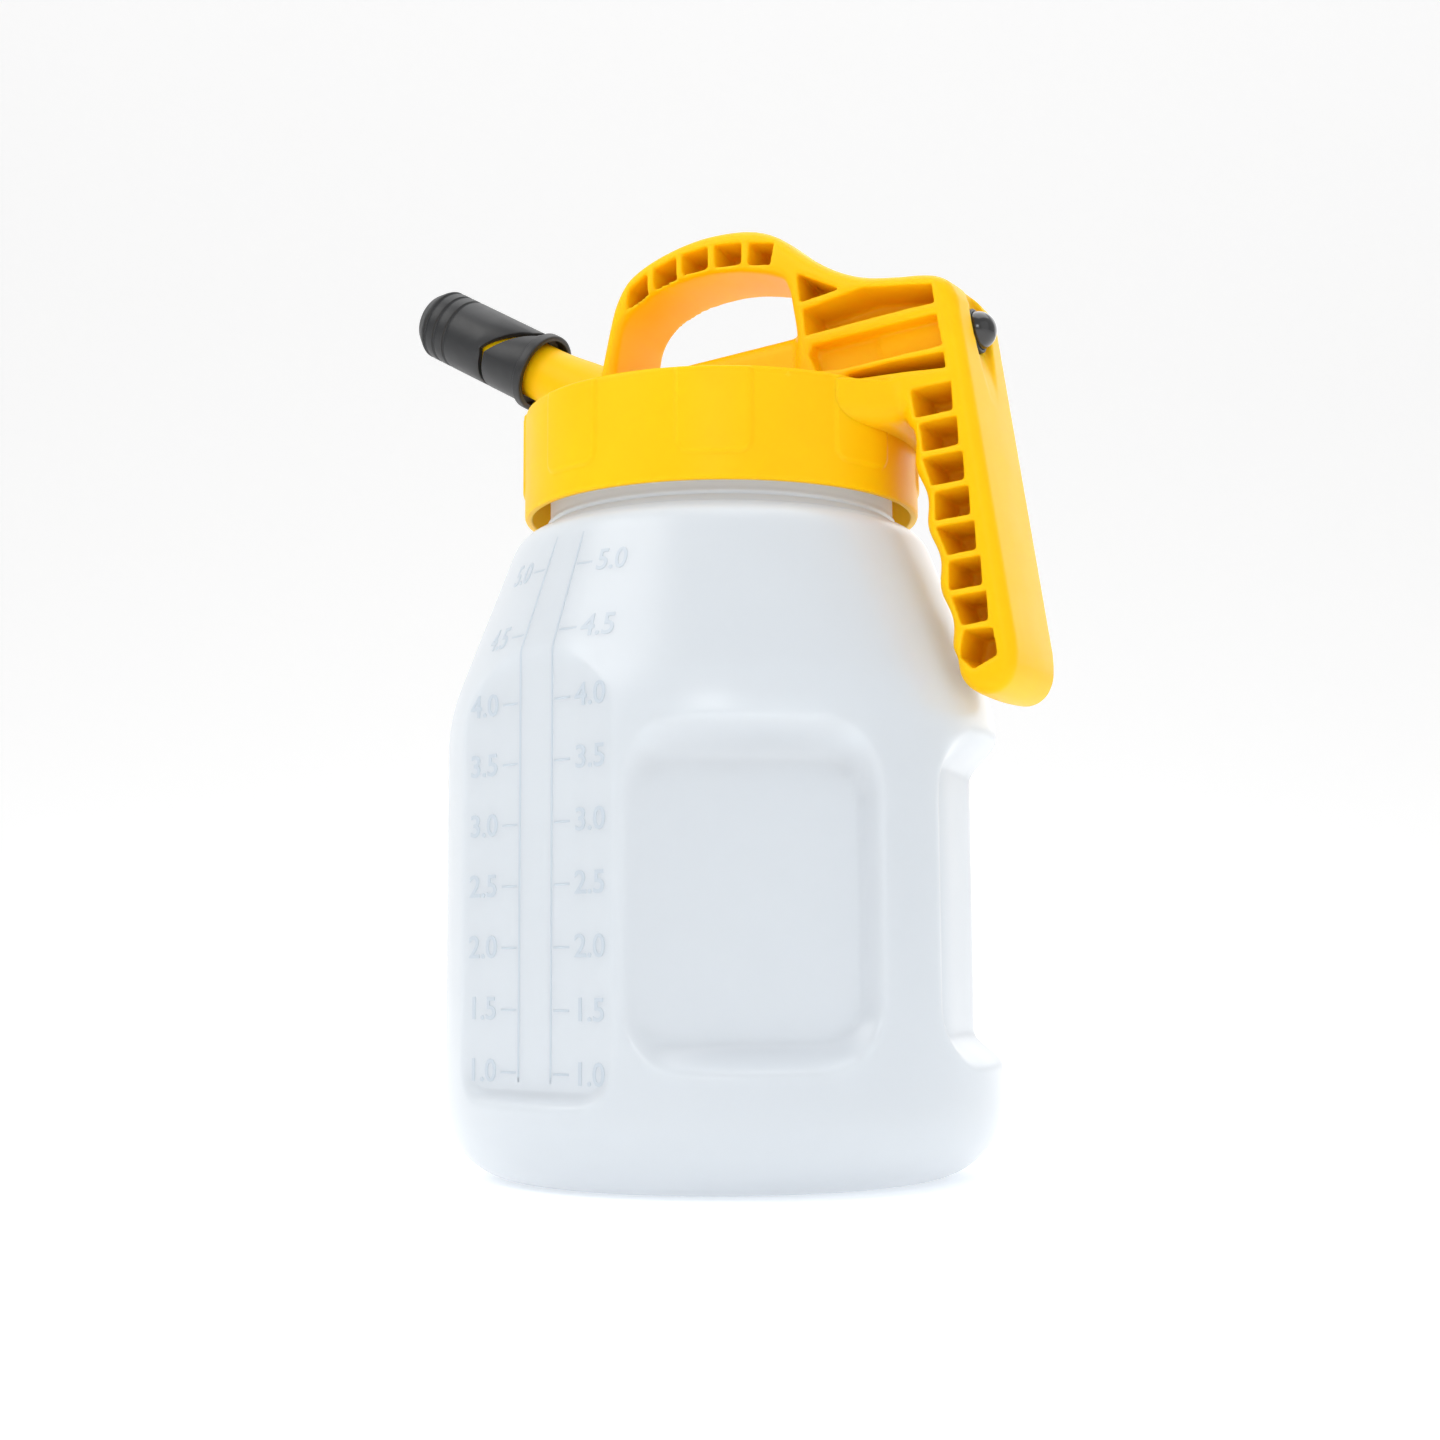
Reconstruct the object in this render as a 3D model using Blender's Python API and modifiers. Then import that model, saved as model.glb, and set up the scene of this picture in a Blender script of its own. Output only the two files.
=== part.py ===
"""Oil dispensing container: a blow-moulded drum with a screw lid.

The lid carries an arched top handle, a ribbed rear grip, a spout with a
twist nozzle and a thumb-operated air vent.  Lengths in this file are in
millimetres and become metres when a mesh is made.  The origin is the
middle of the base, +Z is up, the spout points to -X and the rear grip
stands on the +X side.
"""
import math

import bmesh
import bpy
import numpy as np
from mathutils import Matrix, Vector

MM = 0.001
GAP = 0.3                    # clearance between neighbouring pieces

# Drum
DRUM_RADIUS = 96.0
BASE_FLAT_RADIUS = 70.0
BASE_CORNER = 26.0
SHOULDER_START = 157.0       # height where the straight wall ends
SHOULDER_SLOPE = 0.378       # radius lost for each millimetre of height
SHOULDER_TOP = 219.0
NECK_BOTTOM = 223.6
NECK_RADIUS = 61.0
NECK_TOP = 262.0
DRUM_WALL = 2.0
PANEL_AZIMUTHS = (-15.9, 162.0)
PANEL_PLANE = 0.93 * DRUM_RADIUS
PANEL_REACH = 60.0           # degrees to each side of a panel's middle
GRIP_PILLAR_AZIMUTH = 67.2
RECESS_PLANE = 0.877 * DRUM_RADIUS
RECESS_ROUND = 0.903 * DRUM_RADIUS   # the rear recess's floor is round where its flat ends
RECESS_REACH = 50.0          # degrees to each side of a recess's middle
RECESS_SIDE_FACING = GRIP_PILLAR_AZIMUTH - 31.5
RECESS_REAR_FACING = GRIP_PILLAR_AZIMUTH + 31.5
RECESS_REAR_MIDDLE = GRIP_PILLAR_AZIMUTH + 38.1
# Each recess: its middle, its flat floor's facing, its half-width, its floor's largest radius
RECESSES = ((RECESS_SIDE_FACING, RECESS_SIDE_FACING, 37.5, DRUM_RADIUS),
            (RECESS_REAR_MIDDLE, RECESS_REAR_FACING, 47.0, RECESS_ROUND))
RECESS_LOW = 43.0
RECESS_HIGH = 142.0
RECESS_EDGE = 5.0            # half the width of the sloping recess wall
RECESS_FOOT = 6.0            # half the height of the sloping lower wall
RECESS_CEILING = 12.0        # half the height of the sloping ceiling
THREAD_PITCH = 9.0
THREAD_RADIUS = 64.0
THREAD_LOW = 238.0
THREAD_HIGH = 256.0
DRUM_COLUMNS = 48

# Lid
LID_RADIUS = 70.8
LID_WALL = 3.4
LID_BOTTOM = 229.0
LID_TOP = 267.0
LID_PLATE = 3.0
LID_EDGE = 2.0
GASKET_INNER = 56.5
GASKET_OUTER = 63.5

# Handles
ARCH_HALF_WIDTH = 17.7
GRIP_HALF_WIDTH = 22.8
FAIRING_FRONT = -33.0
FAIRING_REAR = 40.0
FAIRING_LEAN = 0.16          # the rear end leans forward with the bracket's front wall
WEB_HALF = 1.5               # half the thickness of the web between the pockets
CHANNEL_HALF = 11.0          # half-width of the air channel's box section
REAR_TOP = (98.4, 293.9)     # a point on the rear face's line
REAR_SLOPE = 0.152           # how far the rear face moves out as it goes down
SPLIT_HEIGHT = 251.6         # where the bracket ends and the grip begins
SPLIT_SLOPE = 0.06
FINGER_LINE = (80.0, 249.0, 0.193)
FINGER_PITCH = 21.0
FINGER_WAVE = 1.0
GRIP_POCKETS = 8
GRIP_POCKET_PITCH = 11.85
GRIP_POCKET_TOP = 262.3
GRIP_POCKET_HEIGHT = 9.4

# Spout and twist nozzle, measured along the spout from the collar's rear rim
SPOUT_TILT = math.radians(29.6)
SPOUT_ORIGIN = (-73.7, 0.0, 293.7)
SPOUT_RADIUS = 10.6
SPOUT_BORE = 8.0
SPOUT_BASE_RADIUS = 12.6
SPOUT_END = 44.0
PASSAGE_ROOT = -70.0         # the bore's lower end, inside the drum's neck
SPOUT_ROOT = -80.0           # far below the lid's top, where it is cut off square
COLLAR_RADIUS = 13.5
FLANGE_RADIUS = 15.0
FLANGE_LENGTH = 3.7
SLEEVE_BORE = 11.2
NOZZLE_LENGTH = 58.4
CAM_HIGH = 21.0
CAM_LOW = 6.5
CAM_RAMP = math.radians(70.0)
CAM_FLAT = math.radians(80.0)
CAM_START = math.radians(-91.0)
CAM_GAP = 0.8
OUTLET_RADIUS = 5.6
CAM_STEP = math.radians(2.5)

# Air vent, measured along its axis from the rear face, positive outwards
VENT_TILT = math.radians(8.6)
VENT_ORIGIN = (100.2, 0.0, 286.3)
SCOOP_DEPTH = 4.5
BUTTON_RADIUS = 6.6
BUTTON_BASE = -2.2
BUTTON_SKIRT = -6.5
BUSH_RADIUS = 7.2
BUSH_FLOOR = -14.2
BUSH_LOW = -16.2
BARREL_RADIUS = 9.3
BARREL_END = -24.0
VENT_STEM_RADIUS = 2.3
SPRING_WIRE = 0.45
SPRING_RADIUS = 4.6
SPRING_TURNS = 4.0


def clear_scene():
    """Remove every object the file opened with."""
    for old in list(bpy.data.objects):
        bpy.data.objects.remove(old, do_unlink=True)


def make_collection(name):
    """Return a new collection linked to the scene."""
    group = bpy.data.collections.new(name)
    bpy.context.scene.collection.children.link(group)
    return group


def make_material(name, colour, roughness, metallic=0.0, alpha=1.0):
    """Return a Principled material."""
    material = bpy.data.materials.new(name)
    material.use_nodes = True
    shader = material.node_tree.nodes["Principled BSDF"]
    shader.inputs["Base Color"].default_value = (*colour, 1.0)
    shader.inputs["Roughness"].default_value = roughness
    shader.inputs["Metallic"].default_value = metallic
    shader.inputs["Alpha"].default_value = alpha
    return material


clear_scene()
PARTS = make_collection("oil_dispensing_container")
CUTTERS = make_collection("cutters")


def add_object(name, vertices, faces, material=None, edges=()):
    """Put millimetre vertices into a new object: a part, or a cutter when it has no material."""
    mesh = bpy.data.meshes.new(name)
    mesh.from_pydata([Vector(v) * MM for v in vertices], list(edges), faces)
    mesh.update()
    item = bpy.data.objects.new(name, mesh)
    finish_object(item, material)
    return item


def face_outwards(item):
    """Turn an object's faces outwards."""
    work = bmesh.new()
    work.from_mesh(item.data)
    bmesh.ops.recalc_face_normals(work, faces=work.faces)
    work.to_mesh(item.data)
    work.free()


def finish_object(item, material):
    """Link an object to its collection and give it its material."""
    if material is None:
        CUTTERS.objects.link(item)
        item.hide_render = True
        item.display_type = "WIRE"
    else:
        PARTS.objects.link(item)
        item.data.materials.append(material)


def cut(item, cutter, operation="DIFFERENCE"):
    """Add a Boolean modifier."""
    modifier = item.modifiers.new(cutter.name, "BOOLEAN")
    modifier.operation = operation
    modifier.object = cutter
    modifier.solver = "EXACT"


def frame_matrix(origin, direction):
    """Return the matrix that puts local Z along a direction in the XZ plane."""
    along = Vector(direction).normalized()
    side = Vector((0.0, -1.0, 0.0))
    across = side.cross(along)
    rotation = Matrix((across, side, along)).transposed().to_4x4()
    return Matrix.Translation(Vector(origin) * MM) @ rotation


SPOUT_FRAME = frame_matrix(SPOUT_ORIGIN, (-math.cos(SPOUT_TILT), 0.0, math.sin(SPOUT_TILT)))
VENT_FRAME = frame_matrix(VENT_ORIGIN, (math.cos(VENT_TILT), 0.0, math.sin(VENT_TILT)))


def turned(name, profile, material=None, placement=None, steps=32):
    """Turn a profile of (radius, height) points about local Z with a Screw modifier.

    The profile runs down the outer side.  A ring's profile is a closed loop;
    a solid's starts and ends on the axis.
    """
    count = len(profile)
    closed = min(r for r, _ in profile) > 0.0
    points = [(r, 0.0, z) for r, z in profile]
    edges = [(i, (i + 1) % count) for i in range(count if closed else count - 1)]
    item = add_object(name, points, [], material, edges)
    if placement is not None:
        item.matrix_world = placement
    screw = item.modifiers.new("turn", "SCREW")
    screw.axis = "Z"
    screw.steps = steps
    screw.render_steps = steps
    screw.use_merge_vertices = True
    screw.merge_threshold = 0.00001
    return item


def smooth(points, per_span=4):
    """Return a Catmull-Rom curve through the points."""
    pts = np.array(points, float)
    padded = np.vstack([2 * pts[0] - pts[1], pts, 2 * pts[-1] - pts[-2]])
    result = []
    for i in range(len(pts) - 1):
        a, b, c, d = padded[i:i + 4]
        for t in np.arange(per_span) / per_span:
            result.append(0.5 * (2 * b + (c - a) * t + (2 * a - 5 * b + 4 * c - d) * t * t
                                 + (3 * b - a - 3 * c + d) * t ** 3))
    result.append(pts[-1])
    return [tuple(p) for p in result]


def half_width(x):
    """Return the moulding's half-width, which grows from the arch to the rear grip."""
    share = min(max((x - 8.0) / 80.0, 0.0), 1.0)
    return ARCH_HALF_WIDTH + (GRIP_HALF_WIDTH - ARCH_HALF_WIDTH) * share


def slab(name, outline, material, bevel=2.0):
    """Extrude an XZ outline across the width, flare it and round its long edges."""
    curve = bpy.data.curves.new(name, "CURVE")
    curve.dimensions = "2D"
    curve.fill_mode = "BOTH"
    curve.extrude = MM
    spline = curve.splines.new("POLY")
    spline.points.add(len(outline) - 1)
    for point, (x, z) in zip(spline.points, outline):
        point.co = (x * MM, z * MM, 0.0, 1.0)
    spline.use_cyclic_u = True
    source = bpy.data.objects.new(name + "_curve", curve)
    bpy.context.scene.collection.objects.link(source)
    evaluated = source.evaluated_get(bpy.context.evaluated_depsgraph_get())
    mesh = bpy.data.meshes.new_from_object(evaluated)
    bpy.data.objects.remove(source)
    work = bmesh.new()
    work.from_mesh(mesh)
    bmesh.ops.remove_doubles(work, verts=work.verts, dist=0.00001)
    bmesh.ops.dissolve_limit(work, angle_limit=0.01, verts=work.verts, edges=work.edges)
    for vertex in work.verts:
        x, z, y = vertex.co
        side = -1.0 if y > 0 else 1.0
        vertex.co = Vector((x, side * half_width(x / MM) * MM, z))
    bmesh.ops.recalc_face_normals(work, faces=work.faces)
    work.to_mesh(mesh)
    work.free()
    mesh.name = name
    item = bpy.data.objects.new(name, mesh)
    mesh.materials.clear()
    finish_object(item, material)
    rounding = item.modifiers.new("rounding", "BEVEL")
    rounding.width = bevel * MM
    rounding.segments = 2
    rounding.limit_method = "ANGLE"
    rounding.angle_limit = math.radians(60)
    return item


def pocket_cutter(name, outlines, depths):
    """Make one cutter of prisms that enter from both side faces.

    Each outline is an XZ polygon.  Its prism runs from beyond the side
    face to the given distance from the middle plane.
    """
    vertices = []
    faces = []
    outside = GRIP_HALF_WIDTH + 8.0
    for outline, depth in zip(outlines, depths):
        area = sum(a[0] * b[1] - b[0] * a[1] for a, b in zip(outline, outline[1:] + outline[:1]))
        ring = outline if area > 0 else outline[::-1]
        count = len(ring)
        for side in (-1.0, 1.0):
            start = len(vertices)
            low, high = sorted((side * depth, side * outside))
            vertices += [(x, low, z) for x, z in ring] + [(x, high, z) for x, z in ring]
            faces.append([start + i for i in range(count)])
            faces.append([start + count + i for i in reversed(range(count))])
            for i in range(count):
                j = (i + 1) % count
                faces.append([start + i, start + count + i, start + count + j, start + j])
    return add_object(name, vertices, faces)


def rear_x(z):
    """Return where the rear face's line is at a height."""
    return REAR_TOP[0] + (REAR_TOP[1] - z) * REAR_SLOPE


def finger_x(z):
    """Return where the wavy finger edge is at a height."""
    x0, z0, slope = FINGER_LINE
    wave = math.cos(2 * math.pi * (z - z0 + 13.0) / FINGER_PITCH)
    return x0 + (z0 - z) * slope - FINGER_WAVE * wave


def split_z(x, offset=0.0):
    """Return the height of the joint between bracket and grip."""
    return SPLIT_HEIGHT + SPLIT_SLOPE * (x - 92.0) + offset


# ---------------------------------------------------------------- drum


def base_radius(z):
    """Return the plain turned radius of the drum at a height."""
    if z < BASE_CORNER:
        return BASE_FLAT_RADIUS + math.sqrt(max(BASE_CORNER ** 2 - (BASE_CORNER - z) ** 2, 0.0))
    if z < SHOULDER_START:
        return DRUM_RADIUS
    if z < SHOULDER_TOP:
        return DRUM_RADIUS - (z - SHOULDER_START) * SHOULDER_SLOPE
    if z < NECK_BOTTOM:
        top = DRUM_RADIUS - (SHOULDER_TOP - SHOULDER_START) * SHOULDER_SLOPE
        share = (z - SHOULDER_TOP) / (NECK_BOTTOM - SHOULDER_TOP)
        return top + (NECK_RADIUS + 1.5 - top) * share ** 1.8
    return NECK_RADIUS


def angle_between(a, b):
    """Return the signed difference of two angles in degrees."""
    return (a - b + 180.0) % 360.0 - 180.0


def ramp(value, half):
    """Rise from 0 to 1 as value goes from -half to +half."""
    share = min(max((value + half) / (2 * half), 0.0), 1.0)
    return share * share * (3 - 2 * share)


def drum_radius(azimuth, z):
    """Return the outer radius of the drum: turned wall, flat panels, recesses and thread."""
    radius = base_radius(z)
    if THREAD_LOW <= z <= THREAD_HIGH:
        phase = ((z - THREAD_LOW) / THREAD_PITCH - azimuth / 360.0) % 1.0
        if 0.25 <= phase <= 0.65:
            radius = THREAD_RADIUS
    if BASE_CORNER - 12.0 < z < SHOULDER_START + 25.0:
        for panel in PANEL_AZIMUTHS:
            turn = math.radians(abs(angle_between(azimuth, panel)))
            if turn < math.radians(PANEL_REACH):
                radius = min(radius, PANEL_PLANE / math.cos(turn))
    for middle, facing, half, largest in RECESSES:
        turn = math.radians(angle_between(azimuth, middle))
        if abs(turn) > math.radians(RECESS_REACH):
            continue
        across = half - abs(radius * math.sin(turn))
        foot = ramp(z - RECESS_LOW, RECESS_FOOT)
        ceiling = ramp(RECESS_HIGH - z, RECESS_CEILING)
        depth = ramp(across, RECESS_EDGE) * min(foot, ceiling)
        flat = RECESS_PLANE / math.cos(math.radians(angle_between(azimuth, facing)))
        radius += (min(flat, largest, radius) - radius) * depth
    return radius


def build_drum(material):
    """Loft the drum's outer skin between unlike sections and give it a wall."""
    corner = [BASE_CORNER * (1 - math.cos(math.radians(a))) for a in (0, 22, 45, 68, 90)]
    levels = corner + [37.0, 43.0, 49.0, 90.0, 130.0, 136.0, 142.0, 148.0, 154.0, 157.0, 165.0, 173.0]
    levels += [196.0, 219.0, 222.0, NECK_BOTTOM, 234.0]
    levels += [THREAD_LOW + 3.0 * i for i in range(7)] + [NECK_TOP]
    vertices = [(0.0, 0.0, 0.0)]
    for z in levels:
        for column in range(DRUM_COLUMNS):
            azimuth = GRIP_PILLAR_AZIMUTH + 360.0 * column / DRUM_COLUMNS
            turn = math.radians(azimuth)
            r = drum_radius(azimuth, z)
            vertices.append((r * math.sin(turn), -r * math.cos(turn), z))
    faces = []
    for column in range(DRUM_COLUMNS):
        after = (column + 1) % DRUM_COLUMNS
        faces.append([0, 1 + after, 1 + column])
        for level in range(len(levels) - 1):
            low = 1 + level * DRUM_COLUMNS
            high = low + DRUM_COLUMNS
            faces.append([low + column, low + after, high + after, high + column])
    drum = add_object("drum", vertices, faces, material)
    wall = drum.modifiers.new("wall", "SOLIDIFY")
    wall.thickness = DRUM_WALL * MM
    wall.offset = -1.0
    return drum


# ---------------------------------------------------------------- lid


def build_lid(material, rubber):
    """Make the screw cap and the flat gasket that sits inside its top."""
    inner = LID_RADIUS - LID_WALL
    under = LID_TOP - LID_PLATE
    profile = [(0.0, LID_TOP), (LID_RADIUS - LID_EDGE, LID_TOP), (LID_RADIUS, LID_TOP - LID_EDGE),
               (LID_RADIUS, LID_BOTTOM + 2.5), (LID_RADIUS - 1.2, LID_BOTTOM), (inner, LID_BOTTOM),
               (inner, under), (0.0, under)]
    lid = turned("lid_cap", profile, material, steps=64)
    passage = turned("spout_passage_cutter",
                     [(0.0, 20.0), (SPOUT_BORE, 20.0), (SPOUT_BORE, PASSAGE_ROOT), (0.0, PASSAGE_ROOT)],
                     placement=SPOUT_FRAME, steps=24)
    cut(lid, passage)
    vent_hole = turned("vent_hole_cutter", [(0.0, LID_TOP + 5.0), (4.0, LID_TOP + 5.0),
                                            (4.0, under - 5.0), (0.0, under - 5.0)],
                       placement=Matrix.Translation((0.020, 0.0, 0.0)), steps=16)
    cut(lid, vent_hole)
    top = under - GAP
    low = NECK_TOP + GAP
    turned("lid_gasket", [(GASKET_INNER, top), (GASKET_OUTER, top), (GASKET_OUTER, low),
                          (GASKET_INNER, low)], rubber, steps=48)


def build_spout(material):
    """Make the hollow spout, cut off square above the lid."""
    profile = [(SPOUT_BORE, SPOUT_END), (SPOUT_RADIUS - 0.6, SPOUT_END),
               (SPOUT_RADIUS, SPOUT_END - 1.0), (SPOUT_RADIUS, -2.0),
               (SPOUT_BASE_RADIUS, -30.0), (SPOUT_BASE_RADIUS, SPOUT_ROOT),
               (SPOUT_BORE, SPOUT_ROOT)]
    spout = turned("spout_tube", profile, material, SPOUT_FRAME, steps=32)
    floor = box_cutter("lid_top_cutter", (-100.0, 60.0), (-40.0, 40.0),
                       (LID_TOP - 80.0, LID_TOP + GAP))
    cut(spout, floor)
    hull = SPOUT_BASE_RADIUS + GAP
    clearance = turned("spout_clearance_cutter",
                       [(0.0, 6.0), (SPOUT_RADIUS + GAP, 6.0), (SPOUT_RADIUS + GAP, -2.0),
                        (hull, -30.0), (hull, SPOUT_ROOT - 2.0), (0.0, SPOUT_ROOT - 2.0)],
                       placement=SPOUT_FRAME, steps=32)
    return clearance, floor


def box_cutter(name, xs, ys, zs):
    """Make a plain block cutter from its limits."""
    bpy.ops.mesh.primitive_cube_add(size=1.0)
    block = bpy.context.object
    block.name = name
    size = Vector((xs[1] - xs[0], ys[1] - ys[0], zs[1] - zs[0])) * MM
    middle = Vector((xs[1] + xs[0], ys[1] + ys[0], zs[1] + zs[0])) * (MM / 2)
    block.data.transform(Matrix.Translation(middle) @ Matrix.Diagonal((*size, 1.0)))
    for group in list(block.users_collection):
        group.objects.unlink(block)
    finish_object(block, None)
    return block


def build_fairing(material, clearance, floor):
    """Make the hollow fairing between the arch's feet, over the spout's root."""
    low = LID_TOP - 2.0
    rows = [(low, 17.0), (281.0, 14.5), (283.5, 12.0)]
    vertices = []
    for x, rise in ((FAIRING_FRONT, 0.0), (FAIRING_REAR, 6.5)):
        for z, half in rows:
            height = z if z == low else z + rise
            lean = (height - low) * FAIRING_LEAN if x > 0 else 0.0
            vertices += [(x - lean, -half, height), (x - lean, half, height)]
    faces = [(0, 1, 3, 2), (2, 3, 5, 4), (6, 8, 9, 7), (8, 10, 11, 9), (0, 2, 8, 6), (2, 4, 10, 8),
             (1, 7, 9, 3), (3, 9, 11, 5), (4, 5, 11, 10)]
    shell = add_object("spout_fairing", vertices, faces, material)
    face_outwards(shell)
    wall = shell.modifiers.new("wall", "SOLIDIFY")
    wall.thickness = 2.6 * MM
    wall.offset = -1.0
    cut(shell, clearance)
    cut(shell, floor)
    return shell


def build_top_handle(material, clearance):
    """Make the carry handle: an arch on one foot, open to the bracket at its rear end."""
    outer = smooth([(-45.8, LID_TOP + GAP), (-41.0, 287.0), (-37.6, 300.5), (-34.4, 312.5),
                    (-27.0, 321.4), (-15.0, 327.0), (0.0, 330.2), (14.0, 330.6), (24.0, 328.8),
                    (31.3, 325.2), (35.7, 321.7)], 3)
    inner = smooth([(33.7, 305.2), (30.0, 308.8), (18.0, 312.4), (4.0, 313.6), (-11.7, 312.4),
                    (-22.0, 308.6), (-28.0, 303.0), (-30.5, 295.0), (-34.2, 280.0),
                    (-36.8, LID_TOP + GAP)], 3)
    arch = slab("top_handle", outer + inner, material)
    pockets = []
    for i in range(5):
        turn = math.radians(73.0 + 13.2 * i)
        radius_x, radius_z = 53.0, 41.5
        middle = Vector((8.0 + radius_x * math.cos(turn), 281.5 + radius_z * math.sin(turn)))
        tangent = Vector((-radius_x * math.sin(turn), radius_z * math.cos(turn))).normalized()
        normal = Vector((-tangent.y, tangent.x))
        corners = [(-1, -1), (1, -1), (1, 1), (-1, 1)]
        pockets.append([tuple(middle + tangent * 5.0 * a + normal * 3.0 * b) for a, b in corners])
    cut(arch, pocket_cutter("arch_pockets_cutter", pockets, [WEB_HALF] * len(pockets)))
    cut(arch, clearance)
    return arch


def build_bracket(material):
    """Make the bracket that joins the arch, the lid and the rear grip and holds the vent."""
    crown = smooth([(36.0, 321.4), (40.0, 318.2), (48.0, 312.6), (56.5, 307.9), (65.6, 304.9),
                    (76.0, 303.0), (85.0, 302.6), (92.0, 301.2), (97.0, 297.5), (99.3, 291.0)], 3)
    low_rear = rear_x(253.0)
    outline = [(40.6, LID_TOP + GAP), (37.4, 289.7), (34.0, 305.2)] + crown
    outline += [(low_rear, split_z(low_rear, GAP)), (79.4, split_z(79.4, GAP))]
    outline += smooth([(78.2, 254.8), (73.1, 259.4), (64.0, 261.0)], 3)
    outline += [(55.0, 261.0), (55.0, LID_TOP + GAP)]
    bracket = slab("rear_bracket", outline, material)
    top_clear = turned("lid_clearance_cutter", [(0.0, LID_TOP + GAP), (LID_RADIUS + GAP, LID_TOP + GAP),
                                                (LID_RADIUS + GAP, LID_BOTTOM - 10.0),
                                                (0.0, LID_BOTTOM - 10.0)], steps=64)
    pockets = [[(40.2, 308.4), (41.2, 299.8), (53.6, 301.4)],
               [(41.6, 295.4), (42.9, 286.4), (89.2, 291.0), (89.0, 295.6), (64.0, 299.0)],
               [(43.4, 282.8), (45.6, 275.2), (91.6, 276.2), (90.6, 287.2)],
               [(56.5, 271.6), (60.0, 269.6), (93.7, 269.6), (93.4, 273.4)]]
    pockets.append(grip_pocket(0))
    depths = [WEB_HALF, WEB_HALF, CHANNEL_HALF, WEB_HALF, WEB_HALF]
    cut(bracket, pocket_cutter("bracket_pockets_cutter", pockets, depths))
    barrel = turned("vent_barrel_tool", [(0.0, -3.0), (BARREL_RADIUS, -3.0), (BARREL_RADIUS, -27.0),
                                         (0.0, -27.0)], placement=VENT_FRAME, steps=24)
    cut(bracket, barrel, "UNION")
    channel = turned("vent_bore_cutter",
                     [(0.0, 12.0), (8.6, 12.0), (8.2, -SCOOP_DEPTH), (BUSH_RADIUS + GAP, -SCOOP_DEPTH),
                      (BUSH_RADIUS + GAP, BARREL_END), (4.0, BARREL_END), (4.0, -80.0), (0.0, -80.0)],
                     placement=VENT_FRAME, steps=24)
    cut(bracket, top_clear)
    cut(bracket, channel)
    return channel


def grip_pocket(index):
    """Return one pocket of the rear grip as an XZ outline, counted from the top."""
    top = GRIP_POCKET_TOP - GRIP_POCKET_PITCH * index
    low = top - GRIP_POCKET_HEIGHT
    left_high = max(finger_x(top), 76.0) + 5.0
    left_low = finger_x(low) + 5.0
    right = rear_x((top + low) / 2) - 8.2
    rise = SPLIT_SLOPE * 7.0
    return [(left_low, low - rise), (right, low + rise), (right - 0.8, top + rise),
            (left_high, top - rise)]


def build_grip(material):
    """Make the rear grip with its finger waves and side pockets."""
    right = rear_x(253.0)
    outline = [(79.2, split_z(79.2)), (right, split_z(right)), (rear_x(172.0), 172.0)]
    outline += smooth([(rear_x(172.0), 171.0), (115.6, 162.6), (111.0, 158.2), (104.5, 157.6),
                       (99.0, 160.4), (96.2, 165.6)], 3)
    outline += [(finger_x(z), z) for z in np.arange(171.0, 249.0, 4.2)]
    grip = slab("rear_grip", outline, material, bevel=2.6)
    pockets = [grip_pocket(i) for i in range(1, GRIP_POCKETS)]
    cut(grip, pocket_cutter("grip_pockets_cutter", pockets, [WEB_HALF] * len(pockets)))
    return grip


# ---------------------------------------------------------------- nozzle


def cam_height(turn):
    """Return the collar's front edge at an angle: two lobes, each a flat, a ramp and a step."""
    phase = (turn - CAM_START) % math.pi
    if phase < CAM_FLAT:
        return CAM_HIGH
    if phase < CAM_FLAT + CAM_RAMP:
        return CAM_HIGH + (CAM_LOW - CAM_HIGH) * (phase - CAM_FLAT) / CAM_RAMP
    return CAM_LOW


def cam_ring(name, rows, material, placement):
    """Loft a ring whose rows are (radius, function of the turn) around local Z.

    The turn is counted from the -Y side towards the top.  Columns stand close
    together at each step so that the step is steep.
    """
    shifts = [*np.linspace(0.0, CAM_FLAT, 8), *np.linspace(CAM_FLAT, CAM_FLAT + CAM_RAMP, 8)[1:],
              math.pi - 2 * CAM_STEP, math.pi - CAM_STEP]
    turns = [CAM_START + math.pi * half + shift for half in (0, 1) for shift in shifts]
    vertices = []
    for turn in turns:
        for radius, height in rows:
            value = height(turn) if callable(height) else height
            vertices.append((-radius * math.sin(turn), radius * math.cos(turn), value))
    count = len(rows)
    total = len(turns)
    faces = []
    for i in range(total):
        after = (i + 1) % total
        for j in range(count):
            k = (j + 1) % count
            faces.append([i * count + j, i * count + k, after * count + k, after * count + j])
    item = add_object(name, vertices, faces, material)
    face_outwards(item)
    item.matrix_world = placement
    return item


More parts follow.
